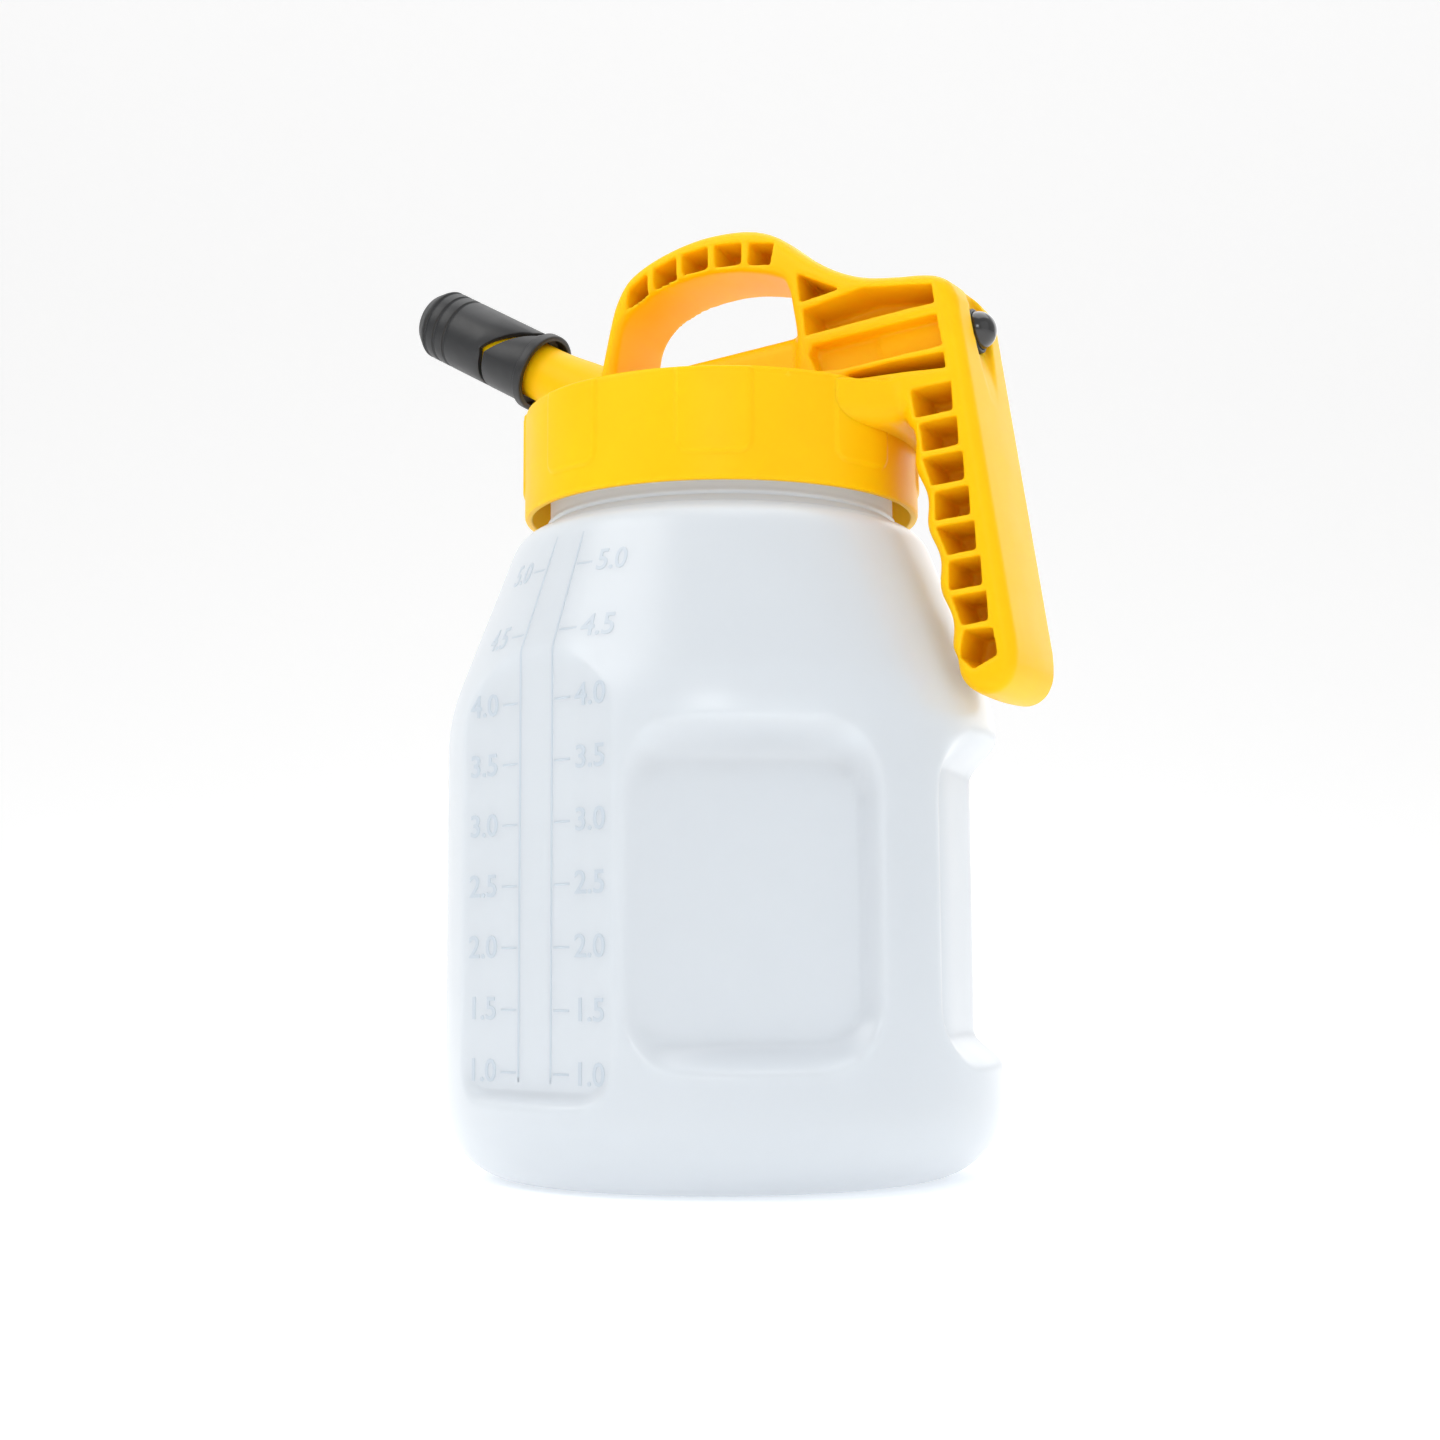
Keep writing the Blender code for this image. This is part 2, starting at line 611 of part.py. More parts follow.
def build_nozzle(black, rubber):
    """Make the fixed cam collar, the twist nozzle, the shut-off plug and their seals."""
    bore = SPOUT_RADIUS + GAP
    cam_ring("spout_collar", [(bore, 0.0), (FLANGE_RADIUS - 0.8, 0.0), (FLANGE_RADIUS, 0.8),
                              (FLANGE_RADIUS, FLANGE_LENGTH), (COLLAR_RADIUS, FLANGE_LENGTH + 0.6),
                              (COLLAR_RADIUS, cam_height), (bore, cam_height)], black, SPOUT_FRAME)

    def rear_edge(turn):
        return max(cam_height(turn), cam_height(turn + CAM_STEP * 1.01)) + CAM_GAP

    tip = NOZZLE_LENGTH
    cam_ring("twist_nozzle", [(SLEEVE_BORE, rear_edge), (COLLAR_RADIUS, rear_edge),
                              (COLLAR_RADIUS, 47.0), (COLLAR_RADIUS - 0.3, 52.0), (11.2, 56.2),
                              (8.6, tip), (OUTLET_RADIUS, tip), (OUTLET_RADIUS, 54.0),
                              (SLEEVE_BORE, 48.0), (SLEEVE_BORE, 33.0), (12.4, 32.6), (12.4, 30.4),
                              (SLEEVE_BORE, 30.0)], black, SPOUT_FRAME)
    torus("nozzle_o_ring", 11.5, 0.55, 31.5, rubber, SPOUT_FRAME)
    plug = [(0.0, 57.6), (3.6, 57.6), (4.9, 56.4), (4.9, 55.6), (4.3, 55.4), (4.3, 53.8), (4.9, 53.6),
            (4.9, 51.0), (2.4, 49.0), (2.4, 30.0), (0.0, 30.0)]
    stem = turned("shutoff_plug", plug, black, SPOUT_FRAME, steps=24)
    for i in range(3):
        vane = spider_vane("plug_vane_tool_%d" % (i + 1), math.radians(30 + 120 * i))
        cut(stem, vane, "UNION")
    torus("plug_o_ring", 4.85, 0.42, 54.6, rubber, SPOUT_FRAME)


def spider_vane(name, turn):
    """Make one radial vane that holds the plug in the spout's bore."""
    reach = SPOUT_BORE - GAP
    vane = box_cutter(name, (0.0, reach), (-0.8, 0.8), (31.0, 41.0))
    vane.matrix_world = SPOUT_FRAME @ Matrix.Rotation(turn, 4, "Z")
    return vane


def torus(name, major, minor, height, material, placement, sides=8, steps=32):
    """Make an O-ring from a small polygon turned about local Z."""
    profile = []
    for i in range(sides):
        turn = math.pi / 2 - 2 * math.pi * (i + 0.5) / sides
        profile.append((major + minor * math.cos(turn), height + minor * math.sin(turn)))
    return turned(name, profile, material, placement, steps)


# ---------------------------------------------------------------- air vent


def build_vent(black, rubber, steel):
    """Make the push button, its bush, stem, spring, seal and clip."""
    turned("vent_bush", [(BUSH_RADIUS - 0.2, BUTTON_BASE), (BUSH_RADIUS + 0.5, BUTTON_BASE - 0.6),
                         (BUSH_RADIUS + 0.5, -SCOOP_DEPTH + GAP), (BUSH_RADIUS, -SCOOP_DEPTH + GAP),
                         (BUSH_RADIUS, BUSH_LOW), (3.2, BUSH_LOW), (3.2, BUSH_FLOOR),
                         (BUTTON_RADIUS + 0.1, BUSH_FLOOR), (BUTTON_RADIUS + 0.1, BUTTON_BASE)],
           black, VENT_FRAME, steps=32)
    dome = []
    for i in range(6):
        turn = math.pi / 2 * (1 - i / 6)
        dome.append((BUTTON_RADIUS * math.cos(turn), BUTTON_BASE + BUTTON_RADIUS * math.sin(turn)))
    dome[0] = (0.0, dome[0][1])
    dome += [(BUTTON_RADIUS, BUTTON_BASE), (BUTTON_RADIUS, BUTTON_SKIRT), (0.0, BUTTON_SKIRT)]
    turned("vent_button", dome, black, VENT_FRAME, steps=32)
    stem_top = BUTTON_SKIRT - GAP
    turned("vent_stem", [(0.0, stem_top), (VENT_STEM_RADIUS, stem_top), (VENT_STEM_RADIUS, -19.3),
                         (1.5, -19.4), (1.5, -20.6), (VENT_STEM_RADIUS, -20.7),
                         (VENT_STEM_RADIUS, -22.2), (0.0, -22.2)], steel, VENT_FRAME, steps=20)
    turned("vent_seal", [(2.4, -16.5), (5.2, -16.5), (5.8, -17.1), (5.8, -19.0), (2.4, -19.0)],
           rubber, VENT_FRAME, steps=28)
    turned("stem_clip", [(1.6, -19.6), (4.2, -19.6), (4.2, -20.4), (1.6, -20.4)], steel, VENT_FRAME,
           steps=20)
    build_spring(steel, BUSH_FLOOR + GAP + SPRING_WIRE, stem_top - SPRING_WIRE)


def build_spring(material, low, high):
    """Wind the vent's return spring as a POLY curve and weld it into a closed mesh."""
    per_turn = 14
    count = int(SPRING_TURNS * per_turn) + 1
    curve = bpy.data.curves.new("vent_spring", "CURVE")
    curve.dimensions = "3D"
    curve.bevel_depth = SPRING_WIRE * MM
    curve.bevel_resolution = 1
    curve.use_fill_caps = True
    spline = curve.splines.new("POLY")
    spline.points.add(count - 1)
    for i, point in enumerate(spline.points):
        turn = 2 * math.pi * i / per_turn
        height = low + (high - low) * i / (count - 1)
        point.co = (SPRING_RADIUS * MM * math.cos(turn), SPRING_RADIUS * MM * math.sin(turn),
                    height * MM, 1.0)
    source = bpy.data.objects.new("vent_spring_curve", curve)
    bpy.context.scene.collection.objects.link(source)
    source.matrix_world = VENT_FRAME
    bpy.context.view_layer.update()
    evaluated = source.evaluated_get(bpy.context.evaluated_depsgraph_get())
    mesh = bpy.data.meshes.new_from_object(evaluated)
    place = source.matrix_world.copy()
    bpy.data.objects.remove(source)
    work = bmesh.new()
    work.from_mesh(mesh)
    bmesh.ops.remove_doubles(work, verts=work.verts, dist=0.000001)
    bmesh.ops.recalc_face_normals(work, faces=work.faces)
    work.to_mesh(mesh)
    work.free()
    mesh.materials.clear()
    spring = bpy.data.objects.new("vent_spring", mesh)
    finish_object(spring, material)
    spring.matrix_world = place
    return spring


def shade(item):
    """Shade a part smooth, with its hard edges kept."""
    item.data.shade_smooth()
    item.data.set_sharp_from_angle(angle=math.radians(35))


def main():
    """Build every piece of the container."""
    yellow = make_material("yellow_moulding", (0.97, 0.66, 0.01), 0.38)
    white = make_material("drum_polymer", (0.86, 0.89, 0.92), 0.42)
    black = make_material("black_moulding", (0.02, 0.02, 0.022), 0.45)
    rubber = make_material("seal_rubber", (0.03, 0.03, 0.03), 0.8)
    steel = make_material("spring_steel", (0.6, 0.6, 0.62), 0.3, 1.0)
    build_drum(white)
    build_lid(yellow, rubber)
    clearance, floor = build_spout(yellow)
    build_top_handle(yellow, clearance)
    fairing = build_fairing(yellow, clearance, floor)
    channel = build_bracket(yellow)
    cut(fairing, channel)
    build_grip(yellow)
    build_nozzle(black, rubber)
    build_vent(black, rubber, steel)
    for item in PARTS.objects:
        shade(item)


main()
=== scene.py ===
"""Oil dispensing container: the finished surfaces and finishes around the working frame.

Shapes are worked out in millimetres and become metres when a mesh is made.
"""

import math

import bmesh
import bpy
import numpy as np
from mathutils import Matrix, Vector


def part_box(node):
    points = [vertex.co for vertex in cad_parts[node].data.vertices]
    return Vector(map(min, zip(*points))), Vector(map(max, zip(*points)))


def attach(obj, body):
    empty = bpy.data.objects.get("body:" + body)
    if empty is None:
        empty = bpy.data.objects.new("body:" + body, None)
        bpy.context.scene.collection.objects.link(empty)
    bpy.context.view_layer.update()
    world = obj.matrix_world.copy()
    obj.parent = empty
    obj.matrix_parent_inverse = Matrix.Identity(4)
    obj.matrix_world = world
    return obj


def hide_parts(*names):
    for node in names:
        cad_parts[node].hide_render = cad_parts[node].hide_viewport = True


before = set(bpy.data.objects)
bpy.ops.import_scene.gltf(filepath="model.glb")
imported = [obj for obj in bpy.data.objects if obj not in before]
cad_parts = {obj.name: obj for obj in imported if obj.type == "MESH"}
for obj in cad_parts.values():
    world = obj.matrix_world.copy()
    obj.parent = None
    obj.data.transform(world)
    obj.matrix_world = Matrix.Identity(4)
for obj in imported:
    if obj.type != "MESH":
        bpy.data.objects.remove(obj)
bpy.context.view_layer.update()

bl_info = {
    "name": "Oil dispensing container",
    "version": (1, 0, 0),
    "blender": (4, 5, 0),
    "location": "View3D > Sidebar > Oil container",
    "description": "Builds the drum, screw lid, handles, twist nozzle and air vent of an oil container",
    "category": "Object",
}

MM = 0.001


def box_mm(node):
    """Return a working piece's lowest and highest corners in millimetres."""
    low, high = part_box(node)
    return np.array(low) / MM, np.array(high) / MM


# Sizes read from the working frame
DRUM_LOW, DRUM_HIGH = box_mm("drum")
LID_LOW, LID_HIGH = box_mm("lid_cap")
DRUM_RADIUS = round(-float(DRUM_LOW[0]), 0)
NECK_TOP = float(DRUM_HIGH[2])
LID_RADIUS = float(LID_HIGH[1])
LID_TOP = float(LID_HIGH[2])
LID_BOTTOM = float(LID_LOW[2])

# Drum
BASE_FLAT = 70.0
BASE_CORNER = 26.0
WALL_TOP = 157.0
CONE_SLOPE = 0.378
CROWN_HEIGHT = 220.5
NECK_RADIUS = 61.0
NECK_BEAD = 227.0            # height of the thin bead round the neck
DRUM_COLUMNS = 384
PANEL_AZIMUTHS = (-15.9, 162.0)
PANEL_PLANE = 0.93 * DRUM_RADIUS
PANEL_HALF = 37.0
PANEL_LOW, PANEL_HIGH = 28.5, 300.0   # the top is past the drum, so a panel runs out on the cone
PANEL_CORNER = 14.0
PILLAR_AZIMUTH = 67.2
RECESS_PLANE = 0.877 * DRUM_RADIUS
RECESS_ROUND = 0.903 * DRUM_RADIUS
RECESS_SIDE_FACING = PILLAR_AZIMUTH - 31.5
RECESS_SIDE_MIDDLE = PILLAR_AZIMUTH - 35.0
RECESS_REAR_FACING = PILLAR_AZIMUTH + 31.5
RECESS_REAR_MIDDLE = PILLAR_AZIMUTH + 38.1
# Each recess: its middle, its flat floor's facing, its half-width, its floor's largest radius
RECESSES = ((RECESS_SIDE_MIDDLE, RECESS_SIDE_FACING, 37.2, DRUM_RADIUS),
            (RECESS_REAR_MIDDLE, RECESS_REAR_FACING, 46.7, RECESS_ROUND))
RECESS_SLOPE = 5.4                    # how far a recess's rim stands outside its floor's edge
RECESS_RIM = (36.5, 150.5, 22.0)      # lowest, highest and corner of the rim
RECESS_FLOOR = (49.5, 134.0, 11.0)    # the same of the floor
THREAD_PITCH = 9.0
THREAD_LOW, THREAD_HIGH = 238.0, 256.0
THREAD_HEIGHT = 3.0

# Graduations
MARK_COUNT = 9
MARK_FIRST = 38.0            # height of the one-litre tick
MARK_STEP = 19.8             # height of half a litre on the straight wall
MARK_LAST_ON_WALL = 6
MARK_CONE_EXTRA = 3.0        # what each step above the wall adds
TICK_INNER, TICK_OUTER = 8.6, 16.0
NUMERAL_ACROSS = 25.0
CENTRE_LINE = 7.5

# Lid
LID_COLUMNS = 560
LID_WALL = 3.4
LID_PLATE = 3.0
PAD_AZIMUTH = 24.5
PAD_LOW = 238.0
PAD_CORNER = 4.5

# Handle moulding
ARCH_HALF_WIDTH = 17.7
GRIP_FLARE = 5.1
GRIP_POCKETS = 8
GRIP_POCKET_TOP = 262.4
GRIP_POCKET_PITCH = 11.85
GRIP_POCKET_HEIGHT = 9.45
ROOT_HALF = 36.0             # half-width of the root where it meets the lid
ROOT_MEETS = 61.0
ROOT_TAPER = 0.82
ROOT_FRONT, ROOT_REAR = 51.0, 79.0
ROOT_LOW = 250.9

# Spout and nozzle: distances along the spout's own axis from the collar's rear rim
SPOUT_TILT = math.radians(29.6)
SPOUT_ORIGIN = (-73.7, 0.0, 293.7)
COLLAR_RADIUS = 13.5
SPOUT_RADIUS = 10.6
NOZZLE_LENGTH = 58.4
CAM_HIGH, CAM_LOW = 21.0, 6.5
CAM_START, CAM_FLAT, CAM_RAMP = -91.0, 80.0, 70.0

# Air vent: distances along its own axis from the rear face
VENT_TILT = math.radians(8.6)
VENT_ORIGIN = (100.2, 0.0, 286.3)
VENT_BORE = 7.5
AIR_BORE = 4.0

# Camera, in degrees and metres
CAMERA_AZIMUTH, CAMERA_PITCH, CAMERA_YAW, CAMERA_ROLL = 26.5, 6.72, 0.07, -0.3
CAMERA_HEIGHT = 0.071


# ---------------------------------------------------------------- settings

def length(name, text, default, low=0.0, high=1.0):
    """Return a property for a size in metres."""
    return bpy.props.FloatProperty(name=name, description=text, default=default, min=low, max=high,
                                   unit="LENGTH", precision=5)


def share(name, text, default):
    """Return a property for a value from 0 to 1."""
    return bpy.props.FloatProperty(name=name, description=text, default=default, min=0.0, max=1.0,
                                   subtype="FACTOR")


def colour(name, text, default):
    """Return a property for a colour."""
    return bpy.props.FloatVectorProperty(name=name, description=text, default=default, size=3,
                                         min=0.0, max=1.0, subtype="COLOR")


class DrumSettings(bpy.types.PropertyGroup):
    """Sizes and finish of the drum."""
    wall: length("Wall", "Thickness of the drum's wall", 0.002)
    edge_soft: length("Wall break", "How far the break between wall and cone is rounded", 0.004)
    mark_relief: length("Mark relief", "How far the graduations stand out of the wall", 0.0002)
    numeral_size: length("Numeral size", "Height of the graduation numerals", 0.0103)
    tint: colour("Tint", "Colour of the natural polyethylene", (0.53, 0.61, 0.69))
    gloss: share("Roughness", "Roughness of the drum's skin", 0.30)


class LidSettings(bpy.types.PropertyGroup):
    """Sizes of the screw lid."""
    pads: bpy.props.IntProperty(name="Pads", description="Number of thumb pads round the lid",
                                default=8, min=1, max=24)
    pad_width: bpy.props.FloatProperty(name="Pad width", description="Angle that one pad covers",
                                       default=math.radians(20.4), subtype="ANGLE")
    pad_relief: length("Pad relief", "How far a pad stands out of the lid", 0.0007)


class MouldingSettings(bpy.types.PropertyGroup):
    """Sizes and finish of the yellow moulding."""
    cell: length("Cell", "Spacing of the cells that the moulding's skin is drawn on", 0.0009)
    edge: length("Edge", "Rounding of the long outer edges", 0.0042)
    rim: length("Rim", "Rounding of the pocket rims", 0.0009)
    web: length("Web", "Half the thickness of the web between the pockets", 0.002)
    tint: colour("Tint", "Colour of the yellow polyethylene", (0.96, 0.53, 0.002))
    gloss: share("Roughness", "Roughness of the yellow skin", 0.38)


class NozzleSettings(bpy.types.PropertyGroup):
    """Sizes and finish of the twist nozzle and its cam collar."""
    groove: length("Groove", "Depth of the ring grooves", 0.0007)
    cam_gap: length("Cam gap", "Clearance between the collar's cam and the nozzle", 0.0014)
    tint: colour("Tint", "Colour of the black moulding", (0.010, 0.011, 0.013))
    gloss: share("Roughness", "Roughness of the black skin", 0.42)


class VentSettings(bpy.types.PropertyGroup):
    """Sizes and finish of the vent button."""
    dome: length("Dome", "Radius of the button's dome", 0.0066)
    tint: colour("Tint", "Colour of the button", (0.010, 0.010, 0.011))


class StageSettings(bpy.types.PropertyGroup):
    """Floor, lights and camera."""
    floor: colour("Floor", "Colour of the floor and backdrop", (0.90, 0.90, 0.90))
    distance: length("Camera distance", "From the drum's axis to the camera", 0.739, high=5.0)
    lens: bpy.props.FloatProperty(name="Lens", description="Focal length on a 36 mm sensor",
                                  default=52.5, subtype="DISTANCE_CAMERA")


def settings(name):
    """Return one group of this scene's settings."""
    return getattr(bpy.context.scene, "oil_container_" + name)


# ---------------------------------------------------------------- mesh helpers

def mesh_piece(name, vertices, quads, body, replaced=(), sharp=None):
    """Make a smooth-shaded piece from millimetre vertices and rows of four corner numbers.

    Faces whose last two corners are the same number become triangles.
    """
    quads = np.asarray(quads, np.int64)
    triangle = quads[:, 2] == quads[:, 3]
    sizes = np.where(triangle, 3, 4)
    starts = np.concatenate([[0], np.cumsum(sizes)[:-1]])
    keep = np.ones(quads.shape, bool)
    keep[triangle, 3] = False
    corners = quads[keep]
    mesh = bpy.data.meshes.new(name)
    mesh.vertices.add(len(vertices))
    mesh.vertices.foreach_set("co", (np.asarray(vertices, float) * MM).astype(np.float32).ravel())
    mesh.loops.add(len(corners))
    mesh.loops.foreach_set("vertex_index", corners.astype(np.int32))
    mesh.polygons.add(len(quads))
    mesh.polygons.foreach_set("loop_start", starts.astype(np.int32))
    mesh.update(calc_edges=True)
    mesh.validate()
    mesh.shade_smooth()
    if sharp is not None:
        mesh.set_sharp_from_angle(angle=math.radians(sharp))
    piece = bpy.data.objects.new(name, mesh)
    bpy.context.scene.collection.objects.link(piece)
    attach(piece, body)
    if replaced:
        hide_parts(*replaced)
    return piece


def band_quads(rows, columns):
    """Return the quads of a grid whose columns close on themselves, numbered row by row."""
    i = np.arange(rows - 1)[:, None]
    j = np.arange(columns)[None, :]
    after = (j + 1) % columns
    return np.stack([i * columns + j, i * columns + after, (i + 1) * columns + after,
                     (i + 1) * columns + j], -1).reshape(-1, 4)


def ring_loop_quads(rows, columns):
    """Return the quads of a torus-like grid that closes both ways."""
    quads = band_quads(rows, columns)
    j = np.arange(columns)
    after = (j + 1) % columns
    last = (rows - 1) * columns
    seam = np.stack([last + j, last + after, after, j], -1)
    return np.vstack([quads, seam])


def fan_quads(pole, start, columns, upwards):
    """Return the triangles that close a ring of vertices on a pole."""
    j = np.arange(columns)
    after = (j + 1) % columns
    one, two = (j, after) if upwards else (after, j)
    pole = np.full(columns, pole)
    return np.stack([start + one, start + two, pole, pole], -1)


def smooth_step(value, low, high):
    """Rise from 0 to 1 between low and high as 3t^2 - 2t^3."""
    t = np.clip((value - low) / (high - low), 0.0, 1.0)
    return t * t * (3.0 - 2.0 * t)


def soft_min(a, b, reach):
    """Return the lower of two values, with the crease rounded over the reach."""
    h = np.clip(0.5 + 0.5 * (b - a) / reach, 0.0, 1.0)
    return b + (a - b) * h - reach * h * (1.0 - h)


def soft_max(a, b, reach):
    """Return the higher of two values, with the crease rounded over the reach."""
    return -soft_min(-a, -b, reach)


def rounded_box(across, up, half, low, high, corner):
    """Signed distance to an upright rectangle with rounded corners, negative inside."""
    dx = np.abs(across) - half + corner
    dz = np.abs(up - (low + high) / 2) - (high - low) / 2 + corner
    outside = np.hypot(np.maximum(dx, 0), np.maximum(dz, 0))
    return outside + np.minimum(np.maximum(dx, dz), 0) - corner


def rounded_profile(points, steps=6):
    """Replace each profile corner (r, z, radius) by an arc of that radius."""
    points = [np.array(p, float) for p in points]
    result = []
    for i, point in enumerate(points):
        radius = point[2] if len(point) > 2 else 0.0
        if radius <= 0 or i in (0, len(points) - 1):
            result.append(point[:2])
            continue
        here = point[:2]
        back = points[i - 1][:2] - here
        ahead = points[i + 1][:2] - here
        back_len, ahead_len = np.linalg.norm(back), np.linalg.norm(ahead)
        back, ahead = back / back_len, ahead / ahead_len
        half = math.acos(np.clip(back @ ahead, -1, 1)) / 2
        reach = min(radius / math.tan(half), 0.49 * back_len, 0.49 * ahead_len)
        start, end = here + back * reach, here + ahead * reach
        t = np.linspace(0, 1, steps + 1)[:, None]
        result += list((1 - t) ** 2 * start + 2 * t * (1 - t) * here + t * t * end)
    return np.array(result)


def turned_points(profile, columns):
    """Turn a profile: point (r cos u, r sin u, z) for each profile row and each angle u."""
    turn = 2 * math.pi * np.arange(columns) / columns
    r, z = profile[:, 0][:, None], profile[:, 1][:, None]
    return np.stack([r * np.cos(turn), r * np.sin(turn), z + 0 * turn], -1)


def axis_frame(origin, tilt, towards):
    """Return a 3x3 of axes and an origin whose third axis leans up by the tilt, towards -X or +X."""
    along = np.array([towards * math.cos(tilt), 0.0, math.sin(tilt)])
    side = np.array([0.0, -1.0, 0.0])
    across = np.cross(side, along)
    return np.stack([across, side, along], 1), np.array(origin, float)


SPOUT_AXES = axis_frame(SPOUT_ORIGIN, SPOUT_TILT, -1.0)
VENT_AXES = axis_frame(VENT_ORIGIN, VENT_TILT, 1.0)


def placed(points, axes):
    """Carry local points along the spout's or the vent's axes."""
    rotation, origin = axes
    return points.reshape(-1, 3) @ rotation.T + origin


def turned_piece(name, profile, axes, columns, body, replaced, sharp=40.0):
    """Make a piece by turning a closed profile, or one that starts and ends on the axis.

    The surface is (r(v) cos u, r(v) sin u, z(v)), carried along the axes.  The
    profile runs down its outer side.
    """
    profile = np.asarray(profile, float)
    open_ends = profile[0, 0] < 1e-6 and profile[-1, 0] < 1e-6
    ring = profile[1:-1] if open_ends else profile
    points = turned_points(ring[::-1], columns)
    rows = len(ring)
    if open_ends:
        poles = np.array([[0, 0, profile[-1, 1]], [0, 0, profile[0, 1]]], float)
        vertices = np.vstack([points.reshape(-1, 3), poles])
        count = rows * columns
        quads = np.vstack([band_quads(rows, columns), fan_quads(count, 0, columns, False),
                           fan_quads(count + 1, (rows - 1) * columns, columns, True)])
    else:
        vertices = points.reshape(-1, 3)
        quads = ring_loop_quads(rows, columns)
    return mesh_piece(name, placed(vertices, axes), quads, body, replaced, sharp)


def outline_curve(points, per_span=6):
    """Return a Catmull-Rom curve through an outline's points."""
    pts = np.array(points, float)
    padded = np.vstack([2 * pts[0] - pts[1], pts, 2 * pts[-1] - pts[-2]])
    t = (np.arange(per_span) / per_span)[None, :, None]
    a, b, c, d = (padded[k:k + len(pts) - 1][:, None, :] for k in range(4))
    curve = 0.5 * (2 * b + (c - a) * t + (2 * a - 5 * b + 4 * c - d) * t ** 2
                   + (3 * b - a - 3 * c + d) * t ** 3)
    return np.vstack([curve.reshape(-1, 2), pts[-1:]])


# ---------------------------------------------------------------- materials

def new_material(name):
    """Return a material with its tree, its shader and a node maker."""
    material = bpy.data.materials.new(name)
    material.use_nodes = True
    tree = material.node_tree
    shader = tree.nodes["Principled BSDF"]

    def node(kind, **values):
        made = tree.nodes.new(kind)
        for key, value in values.items():
            if hasattr(made, key):
                setattr(made, key, value)
            else:
                made.inputs[key.replace("_", " ")].default_value = value
        return made
    return material, tree.links.new, shader, node


def moulded_finish(name, tint, roughness, grain, grain_height, mottle, spread, edge_lightening=0.0, gate=0.0):
    """Moulded plastic: cloudy colour, fine grain, a gently uneven skin and a lighter colour on sharply convex
    edges.
    """
    material, link, shader, node = new_material(name)
    place = node("ShaderNodeTexCoord")
    cloud = node("ShaderNodeTexNoise", Scale=mottle, Detail=4.0, Roughness=0.6)
    link(place.outputs["Object"], cloud.inputs["Vector"])
    ramp = node("ShaderNodeValToRGB")
    ramp.color_ramp.elements[0].position = 0.3
    ramp.color_ramp.elements[1].position = 0.7
    darker = tuple(c * (1.0 - spread) for c in tint)
    lighter = tuple(min(1.0, c * (1.0 + spread * 0.6) + spread * 0.01) for c in tint)
    ramp.color_ramp.elements[0].color = (*darker, 1.0)
    ramp.color_ramp.elements[1].color = (*lighter, 1.0)
    link(cloud.outputs["Fac"], ramp.inputs["Fac"])
    colour_out = ramp.outputs["Color"]
    # Sharply convex edges, found by the geometry's pointiness, are given a lighter colour.
    if edge_lightening > 0:
        edge = node("ShaderNodeNewGeometry")
        band = node("ShaderNodeMapRange")
        band.inputs["From Min"].default_value = 0.53
        band.inputs["From Max"].default_value = 0.62
        band.inputs["To Max"].default_value = edge_lightening
        link(edge.outputs["Pointiness"], band.inputs["Value"])
        mix = node("ShaderNodeMix", data_type="RGBA")
        mix.inputs["B"].default_value = (*[min(1.0, c * 1.25 + 0.05) for c in tint], 1.0)
        link(band.outputs["Result"], mix.inputs["Factor"])
        link(colour_out, mix.inputs["A"])
        colour_out = mix.outputs["Result"]
    link(colour_out, shader.inputs["Base Color"])
    patch = node("ShaderNodeTexNoise", Scale=mottle * 3.0, Detail=5.0)
    link(place.outputs["Object"], patch.inputs["Vector"])
    rough = node("ShaderNodeMapRange")
    rough.inputs["To Min"].default_value = roughness - 0.06
    rough.inputs["To Max"].default_value = roughness + 0.08
    link(patch.outputs["Fac"], rough.inputs["Value"])
    link(rough.outputs["Result"], shader.inputs["Roughness"])
    fine = node("ShaderNodeTexNoise", Scale=grain, Detail=3.0, Roughness=0.55)
    link(place.outputs["Object"], fine.inputs["Vector"])
    bump = node("ShaderNodeBump", Strength=0.35, Distance=grain_height)
    link(fine.outputs["Fac"], bump.inputs["Height"])
    wave = node("ShaderNodeTexNoise", Scale=38.0, Detail=1.0)
    link(place.outputs["Object"], wave.inputs["Vector"])
    broad = node("ShaderNodeBump", Strength=0.25, Distance=0.0004)
    link(wave.outputs["Fac"], broad.inputs["Height"])
    link(broad.outputs["Normal"], bump.inputs["Normal"])
    link(bump.outputs["Normal"], shader.inputs["Normal"])
    return material, shader


def yellow_finish():
    """Bright yellow polyethylene: satin gloss, slightly see-through at thin ribs."""
    picked = settings("moulding")
    material, shader = moulded_finish("yellow_moulding_finish", tuple(picked.tint), picked.gloss,
                                      1500.0, 0.00006, 26.0, 0.035, edge_lightening=0.25)
    shader.inputs["Subsurface Weight"].default_value = 0.35
    shader.inputs["Subsurface Radius"].default_value = (1.0, 0.42, 0.05)
    shader.inputs["Subsurface Scale"].default_value = 0.006
    shader.inputs["IOR"].default_value = 1.5
    shader.inputs["Specular IOR Level"].default_value = 0.12
    return material


def drum_finish():
    """Natural polyethylene: milky, as light passes into it, with a faint painted glow from emission over the
    whole drum that lifts its shaded neck.
    """
    picked = settings("drum")
    material, shader = moulded_finish("drum_polymer_finish", tuple(picked.tint), picked.gloss,
                                      900.0, 0.00004, 14.0, 0.025)
    shader.inputs["Subsurface Weight"].default_value = 0.65
    shader.inputs["Subsurface Radius"].default_value = (0.9, 0.95, 1.0)
    shader.inputs["Subsurface Scale"].default_value = 0.03
    # Painted glow: a faint white emission brightens the whole drum, most visibly the neck in the lid's shade.
    shader.inputs["Emission Color"].default_value = (1.0, 0.97, 0.96, 1.0)
    shader.inputs["Emission Strength"].default_value = 0.15
    shader.inputs["IOR"].default_value = 1.5
    shader.inputs["Coat Weight"].default_value = 0.15
    shader.inputs["Coat Roughness"].default_value = 0.15
    return material


